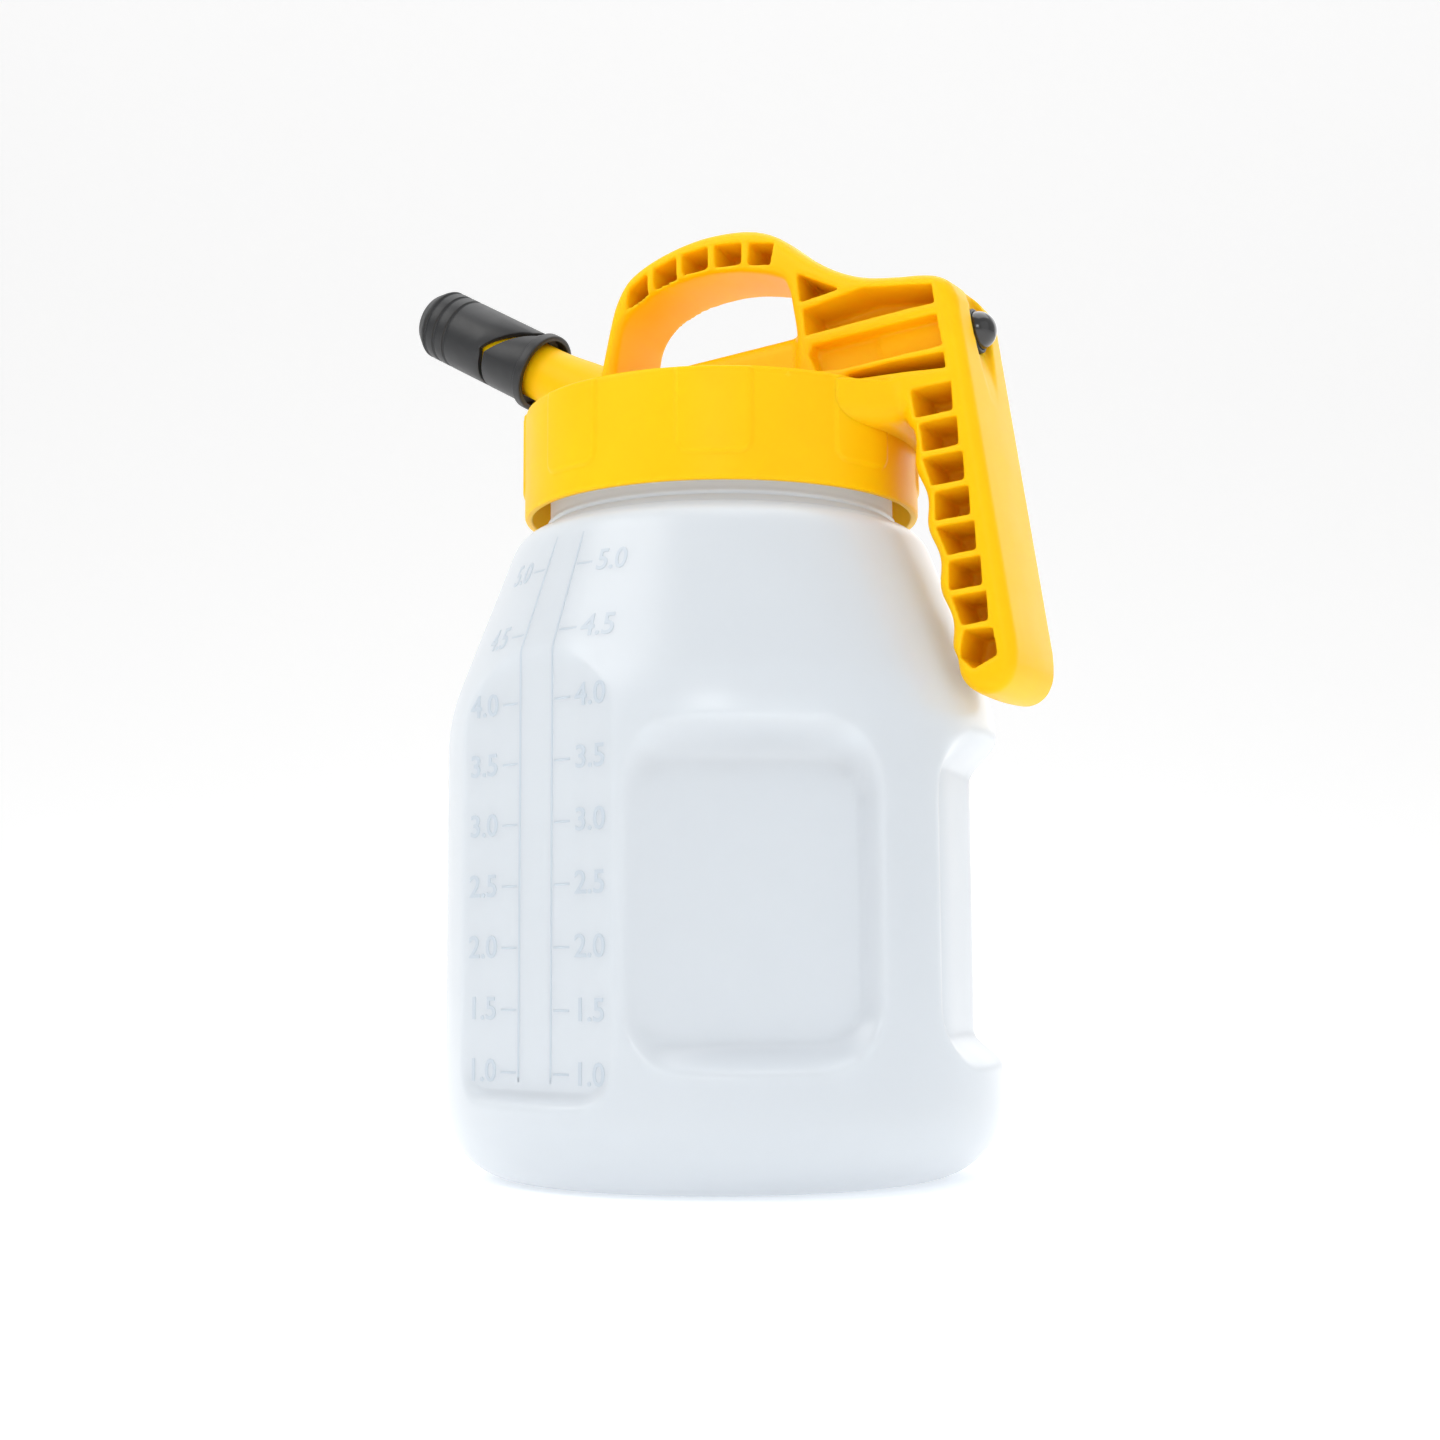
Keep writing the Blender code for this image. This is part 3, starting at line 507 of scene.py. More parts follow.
def marks_finish():
    """The graduations: the drum's polymer in a lighter colour, a painted highlight for the light their raised
    edges catch, and without the painted glow of its wall.
    """
    picked = settings("drum")
    # Painted highlight: the marks' colour is the drum's tint made lighter, for the light that their raised
    # edges catch.
    lighter = tuple(min(1.0, c * 1.12) for c in picked.tint)
    material, shader = moulded_finish("graduation_finish", lighter, picked.gloss, 900.0, 0.00004,
                                      14.0, 0.02)
    shader.inputs["Subsurface Weight"].default_value = 0.4
    shader.inputs["Subsurface Radius"].default_value = (0.9, 0.95, 1.0)
    shader.inputs["Subsurface Scale"].default_value = 0.01
    shader.inputs["IOR"].default_value = 1.5
    return material


def black_finish():
    """Satin charcoal moulding with a fine spark-eroded grain and a lighter colour on sharply convex edges."""
    picked = settings("nozzle")
    material, shader = moulded_finish("black_moulding_finish", tuple(picked.tint), picked.gloss,
                                      2200.0, 0.00005, 60.0, 0.18, edge_lightening=0.35)
    shader.inputs["IOR"].default_value = 1.5
    return material


def button_finish():
    """Glossy black button, polished by the thumb."""
    picked = settings("vent")
    material, shader = moulded_finish("button_finish", tuple(picked.tint), 0.2, 1800.0, 0.00001,
                                      90.0, 0.12)
    shader.inputs["IOR"].default_value = 1.52
    shader.inputs["Coat Weight"].default_value = 0.5
    shader.inputs["Coat Roughness"].default_value = 0.12
    return material


def rubber_finish():
    """Matte nitrile rubber with a dusty bloom."""
    material, shader = moulded_finish("seal_rubber_finish", (0.025, 0.025, 0.026), 0.72, 2600.0,
                                      0.00006, 120.0, 0.3)
    shader.inputs["Sheen Weight"].default_value = 0.15
    return material


def steel_finish():
    """Drawn stainless wire: bright, with fine draw lines."""
    material, link, shader, node = new_material("spring_steel_finish")
    shader.inputs["Metallic"].default_value = 1.0
    place = node("ShaderNodeTexCoord")
    turn = node("ShaderNodeMapping")
    turn.inputs["Scale"].default_value = (1.0, 14.0, 14.0)
    link(place.outputs["Object"], turn.inputs["Vector"])
    lines = node("ShaderNodeTexNoise", Scale=900.0, Detail=4.0)
    link(turn.outputs["Vector"], lines.inputs["Vector"])
    ramp = node("ShaderNodeValToRGB")
    ramp.color_ramp.elements[0].color = (0.46, 0.46, 0.47, 1.0)
    ramp.color_ramp.elements[1].color = (0.66, 0.66, 0.68, 1.0)
    link(lines.outputs["Fac"], ramp.inputs["Fac"])
    link(ramp.outputs["Color"], shader.inputs["Base Color"])
    rough = node("ShaderNodeMapRange")
    rough.inputs["To Min"].default_value = 0.22
    rough.inputs["To Max"].default_value = 0.42
    link(lines.outputs["Fac"], rough.inputs["Value"])
    link(rough.outputs["Result"], shader.inputs["Roughness"])
    bump = node("ShaderNodeBump", Strength=0.3, Distance=0.00003)
    link(lines.outputs["Fac"], bump.inputs["Height"])
    link(bump.outputs["Normal"], shader.inputs["Normal"])
    return material


FINISHES = {"yellow": yellow_finish, "drum": drum_finish, "marks": marks_finish, "black": black_finish,
            "button": button_finish, "rubber": rubber_finish, "steel": steel_finish}
MADE = {}


def finish_with(piece, name):
    """Give a piece one of the finishes, made when it is first asked for."""
    if name not in MADE:
        MADE[name] = FINISHES[name]()
    piece.data.materials.clear()
    piece.data.materials.append(MADE[name])


# ---------------------------------------------------------------- drum surface

def turned_drum_radius(z):
    """Radius of the plain turned drum at a height.

    A quarter circle of the base corner, a straight wall, a straight cone
    whose break is rounded, a crown that curls in to the neck, and the neck.
    """
    corner = BASE_FLAT + np.sqrt(np.clip(BASE_CORNER ** 2 - (BASE_CORNER - z) ** 2, 0, None))
    wall = np.where(z < BASE_CORNER, corner, DRUM_RADIUS)
    cone = DRUM_RADIUS - (z - WALL_TOP) * CONE_SLOPE
    body = np.where(z > BASE_CORNER + 20, soft_min(wall, cone, settings("drum").edge_soft / MM), wall)
    curl_start, curl_end = CROWN_HEIGHT - 6.5, CROWN_HEIGHT + 3.0
    t = np.clip((z - curl_start) / (curl_end - curl_start), 0, 1)
    start = DRUM_RADIUS - (curl_start - WALL_TOP) * CONE_SLOPE
    crown = NECK_RADIUS + (start - NECK_RADIUS) * np.sqrt(np.clip(1 - t ** 2.2, 0, None))
    lean = np.maximum(z - curl_start, 0) * CONE_SLOPE * (1 - t)
    body = np.where(z > curl_start, np.maximum(crown - lean, NECK_RADIUS), body)
    bead = 1.1 * np.exp(-((z - NECK_BEAD) / 1.1) ** 2)
    return np.where(z > curl_end, NECK_RADIUS, body) + bead


def angle_off(azimuth, centre):
    """Signed angle in radians from a centre line."""
    return np.radians((azimuth - centre + 180.0) % 360.0 - 180.0)


def drum_surface(azimuth, z):
    """Outer radius of the drum for each azimuth in degrees and height.

    The turned radius is cut by flat graduated panels, whose plane stands at a
    fixed distance P from the axis so that the radius there is P / cos(angle),
    then pressed in to the two hand recesses between an outer and an inner
    rounded rectangle, and carries the neck's helical thread.  The side
    recess's floor is flat; the rear one's is flat and then round.
    """
    radius = turned_drum_radius(z) + 0 * azimuth
    for centre in PANEL_AZIMUTHS:
        off = angle_off(azimuth, centre)
        near = np.abs(off) < math.radians(60)
        safe = np.where(near, off, 0.0)
        plane = PANEL_PLANE / np.cos(safe)
        across = radius * np.sin(safe)
        region = rounded_box(across, z, PANEL_HALF, PANEL_LOW, PANEL_HIGH, PANEL_CORNER)
        weight = smooth_step(-region, -0.6, 3.4)
        flat = soft_min(radius, plane, 0.7)
        radius = np.where(near, radius + (flat - radius) * weight, radius)
    for centre, facing, half, largest in RECESSES:
        off = angle_off(azimuth, centre)
        near = np.abs(off) < math.radians(50)
        across = DRUM_RADIUS * np.sin(np.where(near, off, 0.0))
        outer = rounded_box(across, z, half + RECESS_SLOPE, *RECESS_RIM)
        inner = rounded_box(across, z, half, *RECESS_FLOOR)
        t = np.clip(-outer / np.maximum(inner - outer, 1e-6), 0, 1)
        depth = smooth_step(np.where(inner < 0, 1.0, t), 0.05, 0.95)
        flat = RECESS_PLANE / np.cos(np.where(near, angle_off(azimuth, facing), 0.0))
        floor = np.minimum(soft_min(flat, largest, 1.5), radius)
        radius = np.where(near, radius + (floor - radius) * depth, radius)
    phase = ((z - THREAD_LOW) / THREAD_PITCH - azimuth / 360.0) % 1.0
    ridge = smooth_step(0.5 - np.abs(phase - 0.45) * 2.0, 0.0, 0.28)
    start = smooth_step(z, THREAD_LOW - 1.0, THREAD_LOW + 2.0)
    end = smooth_step(z, THREAD_HIGH - 2.0, THREAD_HIGH + 1.0)
    return radius + THREAD_HEIGHT * ridge * (start * (1 - end))


def drum_direction(azimuth):
    """Unit vector of an azimuth, counted from -Y towards +X."""
    turn = np.radians(azimuth)
    return np.stack([np.sin(turn), -np.cos(turn)], -1)


def drum_rows():
    """Heights of the drum's rows, close together where the surface turns."""
    corner = BASE_CORNER * (1 - np.cos(np.linspace(0, math.pi / 2, 15)))
    parts = [corner, np.linspace(27.5, 54, 26), np.linspace(56, 132, 30), np.linspace(133.5, 176, 40),
             np.linspace(179, 212, 14), np.linspace(213.5, 230, 32), np.linspace(231.5, 236, 4),
             np.linspace(236.8, 258, 30), np.linspace(259, NECK_TOP - 1.0, 3)]
    return np.concatenate(parts)


def build_drum_mesh():
    """Put the drum's outer surface, lip and inner wall on one grid of azimuth and height."""
    columns = DRUM_COLUMNS
    azimuth = 360.0 * np.arange(columns) / columns
    outer_z = drum_rows()
    wall = settings("drum").wall / MM
    outer = drum_surface(azimuth[None, :], outer_z[:, None])
    lip_z = np.array([NECK_TOP - 0.4, NECK_TOP, NECK_TOP, NECK_TOP - 0.4])
    lip_r = NECK_RADIUS - np.array([0.1, 0.6, wall - 0.6, wall - 0.1])
    lip = lip_r[:, None] + 0 * azimuth[None, :]
    inner_z = np.concatenate([np.linspace(NECK_TOP - 2, 214, 8), np.linspace(205, 60, 16),
                              np.linspace(54, 27, 6), BASE_CORNER * (1 - np.cos(np.linspace(1.45, 0.42, 5)))])
    inner = np.minimum(drum_surface(azimuth[None, :], inner_z[:, None]) - wall,
                       turned_drum_radius(inner_z)[:, None] - wall)
    inner = np.where(inner_z[:, None] > 228.0, NECK_RADIUS - wall, inner)
    dish_r = np.array([0.25, 0.5, 0.68, 0.76, 0.84, 0.93]) * BASE_FLAT
    dish_z = np.array([2.2, 2.2, 1.9, 1.0, 0.25, 0.0])
    under = dish_r[:, None] + 0 * azimuth[None, :]
    over_r = dish_r[::-1]
    over = over_r[:, None] + 0 * azimuth[None, :]
    radius = np.vstack([under, outer, lip, inner, over])
    height = np.concatenate([dish_z, outer_z, lip_z, inner_z, dish_z[::-1] + wall])
    way = drum_direction(azimuth)
    points = np.concatenate([radius[..., None] * way[None], np.broadcast_to(height[:, None, None],
                                                                           radius.shape + (1,))], -1)
    rows = len(height)
    poles = np.array([[0, 0, dish_z[0]], [0, 0, dish_z[0] + wall]])
    count = rows * columns
    quads = np.vstack([band_quads(rows, columns), fan_quads(count, 0, columns, False),
                       fan_quads(count + 1, (rows - 1) * columns, columns, True)])
    return np.vstack([points.reshape(-1, 3), poles]), quads


def wrapped_relief(local, centre, relief):
    """Lay flat relief on the drum: (across, height, lift) follows the surface at its azimuth.

    The azimuth is the panel's centre plus atan(across / panel distance), and
    the lift moves the point out from the drum's surface.
    """
    across, height, lift = local[:, 0], local[:, 1], local[:, 2]
    azimuth = centre + np.degrees(np.arctan2(across, PANEL_PLANE))
    radius = drum_surface(azimuth, height) + lift * relief
    way = drum_direction(azimuth)
    return np.column_stack([radius[:, None] * way, height])


def relief_bar(low, high, columns, rows):
    """Return the local vertices and quads of one raised bar with sloping sides, on a small grid."""
    u = np.array([0.0, 0.18, 0.82, 1.0])[None, :] if columns == 4 else np.linspace(0, 1, columns)[None, :]
    v = np.linspace(0, 1, rows)[:, None]
    x = low[0] + (high[0] - low[0]) * u + 0 * v
    z = low[1] + (high[1] - low[1]) * v + 0 * u
    inside = (u > 0.01) & (u < 0.99) & (v > 0.01) & (v < 0.99)
    top = np.stack([x, z, np.where(inside, 1.0, 0.0)], -1).reshape(-1, 3)
    under = np.stack([x, z, 0 * x - 1.5], -1).reshape(-1, 3)
    i, j = np.meshgrid(np.arange(rows - 1), np.arange(columns - 1), indexing="ij")
    a = (i * columns + j).ravel()
    face = np.stack([a, a + 1, a + columns + 1, a + columns], -1)
    count = rows * columns
    rim = np.concatenate([np.arange(columns), np.arange(1, rows) * columns + columns - 1,
                          count - 2 - np.arange(columns - 1), (np.arange(rows - 2, 0, -1)) * columns])
    nxt = np.roll(rim, -1)
    sides = np.stack([rim, rim + count, nxt + count, nxt], -1)
    return np.vstack([top, under]), np.vstack([face, face[:, ::-1] + count, sides])


def numeral_relief(text, size, x, z):
    """Return a numeral's local vertices and triangles as a thin raised solid."""
    curve = bpy.data.curves.new("numeral", "FONT")
    curve.body = text
    curve.size = size
    curve.align_x = "CENTER"
    curve.align_y = "CENTER"
    curve.extrude = 0.9
    curve.bevel_depth = 0.12
    curve.resolution_u = 3
    item = bpy.data.objects.new("numeral", curve)
    bpy.context.scene.collection.objects.link(item)
    mesh = bpy.data.meshes.new_from_object(item.evaluated_get(bpy.context.evaluated_depsgraph_get()))
    bpy.data.objects.remove(item)
    work = bmesh.new()
    work.from_mesh(mesh)
    bmesh.ops.remove_doubles(work, verts=work.verts, dist=0.001)
    bmesh.ops.triangulate(work, faces=work.faces)
    work.to_mesh(mesh)
    work.free()
    local = np.zeros(len(mesh.vertices) * 3, np.float32)
    mesh.vertices.foreach_get("co", local)
    local = local.reshape(-1, 3)
    corners = np.zeros(len(mesh.polygons) * 3, np.int32)
    mesh.polygons.foreach_get("vertices", corners)
    corners = corners.reshape(-1, 3)
    bpy.data.meshes.remove(mesh)
    local = local * np.array([1.12, 1.0, 1.0]) + np.array([x, z, 0.0])
    return local, np.column_stack([corners, corners[:, 2]])


def build_marks():
    """Gather the graduations: two scales of ticks and numerals, and two centre lines."""
    picked = settings("drum")
    size = picked.numeral_size / MM
    parts = []
    for index in range(MARK_COUNT):
        z = MARK_FIRST + MARK_STEP * index
        if index > MARK_LAST_ON_WALL:
            z += MARK_CONE_EXTRA * (index - MARK_LAST_ON_WALL)
        litres = "%.1f" % (1.0 + 0.5 * index)
        for side in (-1, 1):
            ends = sorted((side * TICK_INNER, side * TICK_OUTER))
            parts.append(relief_bar((ends[0], z - 0.4), (ends[1], z + 0.4), 6, 3))
            parts.append(numeral_relief(litres, size, side * NUMERAL_ACROSS, z))
    for side in (-1, 1):
        line = side * CENTRE_LINE
        parts.append(relief_bar((line - 0.45, 35.0), (line + 0.45, 214.0), 4, 120))
    vertices, quads, count = [], [], 0
    for local, faces in parts:
        vertices.append(local)
        quads.append(faces + count)
        count += len(local)
    return np.vstack(vertices), np.vstack(quads)


# ---------------------------------------------------------------- lid surface

def build_lid_mesh():
    """Turn the lid's closed profile, with shallow U-shaped thumb pads pressed out of its skirt.

    The surface is ((r(v) + pad(u, v)) cos u, ... sin u, z(v)); a pad is a rounded
    rectangle in arc length and height whose rim slopes up over about a millimetre.
    """
    picked = settings("lid")
    columns = LID_COLUMNS
    inner = LID_RADIUS - LID_WALL
    top_inner = LID_TOP - LID_PLATE
    skirt = np.linspace(LID_TOP - 2.4, LID_BOTTOM + 2.6, 56)
    outer = rounded_profile([(8.0, LID_TOP), (LID_RADIUS - 12.0, LID_TOP, 0.0),
                             (LID_RADIUS - 0.2, LID_TOP - 0.1, 2.4), (LID_RADIUS - 0.15, LID_TOP - 2.4)])
    low = rounded_profile([(LID_RADIUS, LID_BOTTOM + 2.6), (LID_RADIUS, LID_BOTTOM, 2.4),
                           (inner, LID_BOTTOM, 0.8), (inner, LID_BOTTOM + 3.0)])
    inside = rounded_profile([(inner, LID_BOTTOM + 6.0), (inner, top_inner, 1.5), (8.0, top_inner)])
    side = np.column_stack([np.full(len(skirt), LID_RADIUS), skirt])
    profile = np.vstack([outer, side, low[1:], inside])[::-1]
    turn = 2 * math.pi * np.arange(columns) / columns
    azimuth = np.degrees(turn) + 90.0
    spacing = 360.0 / picked.pads
    off = (azimuth - PAD_AZIMUTH + spacing / 2) % spacing - spacing / 2
    arc = LID_RADIUS * np.radians(off)[None, :]
    half = LID_RADIUS * picked.pad_width / 2
    r, z = profile[:, 0][:, None], profile[:, 1][:, None]
    shape = rounded_box(arc, z + 0 * arc, half, PAD_LOW, LID_TOP + 20.0, PAD_CORNER)
    pad = picked.pad_relief / MM * smooth_step(-shape, -0.45, 0.45)
    skin = smooth_step(r, LID_RADIUS - 1.2, LID_RADIUS - 0.4)
    radius = r + (pad - picked.pad_relief / MM) * skin
    points = np.stack([radius * np.cos(turn), radius * np.sin(turn), z + 0 * radius], -1)
    rows = len(profile)
    poles = np.array([[0, 0, profile[0, 1]], [0, 0, profile[-1, 1]]])
    count = rows * columns
    quads = np.vstack([band_quads(rows, columns), fan_quads(count, 0, columns, False),
                       fan_quads(count + 1, (rows - 1) * columns, columns, True)])
    return np.vstack([points.reshape(-1, 3), poles]), quads


# ---------------------------------------------------------------- handle moulding

ARCH_OUTER = [(-46.6, 262.0), (-44.6, 272.0), (-41.2, 286.5), (-38.2, 299.6), (-35.4, 310.4),
              (-31.2, 317.9), (-25.8, 322.2), (-17.4, 326.1), (-6.8, 329.2), (3.6, 330.7),
              (14.1, 330.6), (23.0, 329.0), (31.3, 325.2), (40.0, 318.3), (48.1, 312.6),
              (56.5, 308.0), (65.6, 304.9), (76.0, 303.3), (84.0, 302.6), (90.5, 301.4),
              (95.6, 298.4), (98.6, 293.0)]
ARCH_INNER = [(34.6, 304.2), (32.6, 308.2), (27.6, 310.7), (20.8, 312.8), (10.3, 314.7), (0.0, 315.0),
              (-11.7, 313.4), (-20.7, 310.2), (-27.0, 305.9), (-30.6, 300.6), (-32.2, 294.0),
              (-34.0, 284.0), (-37.2, 262.0)]
GRIP_END = [(116.6, 172.0), (116.2, 166.6), (113.8, 161.4), (109.4, 158.3), (104.4, 158.0),
            (99.6, 160.2), (96.2, 164.6), (94.9, 171.0)]


def finger_edge(z):
    """The wavy front edge of the rear grip: a leaning line less a cosine of pitch 21 mm."""
    return 80.0 + (249.0 - z) * 0.193 - np.cos(2 * math.pi * (z - 236.0) / 21.0)


def rear_edge(z):
    """The straight leaning rear edge of the grip."""
    return 98.4 + (293.9 - z) * 0.152


def polygon_distance(x, z, polygon):
    """Signed distance from grid points to a closed polygon, negative inside, edge by edge."""
    polygon = np.asarray(polygon, float)
    nearest = np.full(x.shape, 1e9)
    inside = np.zeros(x.shape, bool)
    for (ax, az), (bx, bz) in zip(polygon, np.roll(polygon, -1, 0)):
        ex, ez = bx - ax, bz - az
        t = np.clip(((x - ax) * ex + (z - az) * ez) / max(ex * ex + ez * ez, 1e-12), 0, 1)
        nearest = np.minimum(nearest, (x - ax - t * ex) ** 2 + (z - az - t * ez) ** 2)
        crosses = (az > z) != (bz > z)
        inside ^= crosses & (x < ax + (z - az) * ex / (ez if ez else 1e-12))
    return np.sqrt(nearest) * np.where(inside, -1.0, 1.0)


def grip_pocket(index):
    """Return one side pocket of the grip as an outline, counted from the top."""
    top = GRIP_POCKET_TOP - GRIP_POCKET_PITCH * index
    low = top - GRIP_POCKET_HEIGHT
    left_top = max(float(finger_edge(top)), 76.5) + 4.4
    left_low = float(finger_edge(low)) + 4.4
    right = rear_edge((top + low) / 2) - 7.6
    if index == GRIP_POCKETS - 1:
        return [(97.1, 171.1), (101.8, 166.8), (110.0, 170.8), (108.5, 179.7), (99.0, 179.5)]
    return [(left_low, low - 0.5), (right, low + 0.5), (right - 0.6, top + 0.5), (left_top, top - 0.5)]


def side_pockets():
    """Return the deep side pockets: five in the arch, three in the bracket, eight in the grip."""
    pockets = [[(19.6, 316.4), (28.4, 315.0), (29.8, 322.4), (20.2, 324.0)],
               [(6.6, 317.9), (16.6, 317.2), (16.9, 324.7), (6.4, 325.4)],
               [(-6.6, 316.9), (3.4, 318.0), (3.4, 325.4), (-6.6, 324.0)],
               [(-18.2, 313.6), (-9.2, 316.2), (-9.2, 323.6), (-18.0, 320.6)],
               [(-29.4, 307.6), (-21.0, 312.3), (-21.0, 319.3), (-28.2, 314.8)],
               [(39.3, 309.4), (40.3, 299.4), (55.2, 301.3)],
               [(41.5, 296.1), (42.6, 287.2), (90.4, 290.9), (89.6, 297.2), (64.0, 300.0)],
               [(57.0, 270.6), (60.0, 269.0), (93.9, 268.2), (93.6, 273.4), (75.0, 272.6)]]
    return pockets + [grip_pocket(i) for i in range(GRIP_POCKETS)]


def moulding_outline():
    """Return the moulding's side outline without the arch's opening."""
    outer = outline_curve(ARCH_OUTER)
    rear = [(float(rear_edge(z)), z) for z in (286.0, 230.0, 176.0)]
    end = outline_curve(GRIP_END)
    fingers = [(float(finger_edge(z)), z) for z in np.arange(174.0, 250.0, 1.5)]
    under = outline_curve([(79.3, 250.2), (77.6, 255.4), (73.4, 259.0), (65.3, 260.6), (54.0, 261.0)])
    return np.vstack([outer, rear, end, fingers, under, [(54.0, 262.0)]])


def moulding_half_width(x):
    """Half-width of the moulding: it flares from the arch to the rear grip."""
    return ARCH_HALF_WIDTH + GRIP_FLARE * smooth_step(x, 4.0, 92.0)


def moulding_field(x, y, z):
    """Signed distance to the yellow handle moulding, negative inside, on a grid of points.

    The side outline is extruded to the half-width and its edge rounded: with a
    the distance to the outline and b the distance to the side face, both grown
    by the edge radius r, the field is the length of their positive parts less r.
    Pockets, the thumb scoop, the vent's bore and the air bore are taken away.
    The fairing and the wedge-shaped root beside the lid are added with rounded
    creases.
    """
    picked = settings("moulding")
    flat_x, flat_z = x[:, 0, :], z[:, 0, :]
    solid = polygon_distance(flat_x, flat_z, moulding_outline())
    opening_shape = np.vstack([outline_curve(ARCH_INNER), [(38.6, 262.0), (37.4, 289.0), (35.0, 303.0)]])
    opening = polygon_distance(flat_x, flat_z, opening_shape) - 0.2
    outline = np.maximum(solid, -opening)
    edge = picked.edge / MM
    inner_side = smooth_step(opening, 10.0, 3.0)
    radius = (edge - 1.4 * inner_side)[:, None, :]
    wide = moulding_half_width(flat_x)[:, None, :]
    across = np.abs(y)
    crown = 0.9 * (across / wide) ** 2
    a = outline[:, None, :] + crown + radius
    b = across - wide + radius
    field = np.hypot(np.maximum(a, 0), np.maximum(b, 0)) + np.minimum(np.maximum(a, b), 0) - radius
    rim = picked.rim / MM
    web = picked.web / MM
    for outline_points in side_pockets():
        flat = polygon_distance(flat_x, flat_z, outline_points)[:, None, :] + 0.35
        draft = (across - wide) * 0.045
        floor = web - across
        pocket = soft_max(flat - draft - 0.5, floor, 1.6)
        field = soft_max(field, -pocket, rim)
    channel = [(44.6, 283.2), (43.2, 280.0), (46.0, 273.6), (56.0, 272.6), (93.6, 275.4), (91.4, 287.2)]
    flat = polygon_distance(flat_x, flat_z, channel)[:, None, :] + 0.35
    rotation, origin = VENT_AXES
    local = np.stack([x - origin[0], y - origin[1], z - origin[2]], -1) @ rotation
    off_axis = np.hypot(local[..., 0], local[..., 1])
    along = local[..., 2]
    barrel = soft_max(off_axis - 14.6, np.abs(along + 20.5) - 13.0, 2.5)
    floor = soft_max(13.4 - across, -barrel, 1.5)
    pocket = soft_max(flat, floor, 1.2)
    field = soft_max(field, -pocket, rim)
    down = -local[..., 0]
    fade = np.clip((down - 1.0) / 22.0, 0, 1)
    leg = np.hypot(down - np.clip(down, -4.5, 22.0), local[..., 1])
    scoop = soft_max(leg - (9.0 - 4.6 * fade), -(along + 4.6 - 4.4 * fade), 2.0)
    field = soft_max(field, -scoop, 1.4)
    bore = np.maximum(off_axis - VENT_BORE, -(along + 24.0))
    field = np.maximum(field, -bore)
    air = np.maximum(off_axis - AIR_BORE, np.abs(along + 50.0) - 30.0)
    field = np.maximum(field, -air)
    rise = 283.0 + (x + 33.0) * 0.098
    hump = soft_max(np.abs(x - 4.0) - 38.0, soft_max(across - 16.4 + (z - 267.0) * 0.10, z - rise, 6.0), 3.0)
    field = soft_min(field, hump, 4.5)
    slant = (across - ROOT_HALF + ROOT_TAPER * (x - ROOT_MEETS)) / math.hypot(1.0, ROOT_TAPER)
    side = np.maximum(slant, across - ROOT_HALF)
    root = soft_max(soft_max(side, x - ROOT_REAR, 3.0), ROOT_FRONT - x, 2.0)
    root = soft_max(soft_max(root, ROOT_LOW - z, 8.0), z - (LID_TOP - 1.0), 1.5)
    field = soft_min(field, root, 3.0)
    lid = np.maximum(np.hypot(x, y) - (LID_RADIUS - 2.2), z - (LID_TOP - 1.2))
    field = np.maximum(field, -lid)
    spout_rotation, spout_origin = SPOUT_AXES
    spout = np.stack([x - spout_origin[0], y - spout_origin[1], z - spout_origin[2]], -1) @ spout_rotation
    spout_bore = np.maximum(np.hypot(spout[..., 0], spout[..., 1]) - 8.2, np.abs(spout[..., 2] + 30.0) - 30.0)
    return np.maximum(field, -spout_bore)


def grid_skin(field, low, cell):
    """Draw the skin of a field on its grid, one vertex for each cell that the surface crosses.

    A vertex is the mean of the points where the surface crosses its cell's
    edges, and each crossed grid edge gives the quad of the four cells round it.
    """
    inside = field < 0
    shape = np.array(field.shape) - 1
    total = np.zeros((*shape, 3))
    count = np.zeros(tuple(shape))
    spans = [slice(0, -1), slice(1, None)]
    for axis in range(3):
        others = [k for k in range(3) if k != axis]
        for p in (0, 1):
            for q in (0, 1):
                start, end = [None] * 3, [None] * 3
                start[axis], end[axis] = spans[0], spans[1]
                start[others[0]] = end[others[0]] = spans[p]
                start[others[1]] = end[others[1]] = spans[q]
                one, two = field[tuple(start)], field[tuple(end)]
                crossed = (one < 0) != (two < 0)
                t = np.where(crossed, one / np.where(crossed, one - two, 1.0), 0.0)
                total[..., axis] += t
                total[..., others[0]] += crossed * p
                total[..., others[1]] += crossed * q
                count += crossed
    live = count > 0
    number = np.full(tuple(shape), -1, np.int64)
    number[live] = np.arange(live.sum())
    corner = np.argwhere(live)
    vertices = low + (corner + total[live] / count[live][:, None]) * cell
    quads = []
    for axis in range(3):
        b, c = (axis + 1) % 3, (axis + 2) % 3
        start, end = [slice(1, -1)] * 3, [slice(1, -1)] * 3
        start[axis], end[axis] = slice(0, -1), slice(1, None)
        one, two = inside[tuple(start)], inside[tuple(end)]
        for flips in (False, True):
            found = np.argwhere((one & ~two) if not flips else (~one & two))
            base = found.copy()
            base[:, b] += 1
            base[:, c] += 1
            cells = []
            for db, dc in ((-1, -1), (0, -1), (0, 0), (-1, 0)):
                at = base.copy()
                at[:, b] += db
                at[:, c] += dc
                cells.append(number[at[:, 0], at[:, 1], at[:, 2]])
            if flips:
                cells = cells[::-1]
            quads.append(np.stack(cells, -1))
    return vertices, np.vstack(quads)


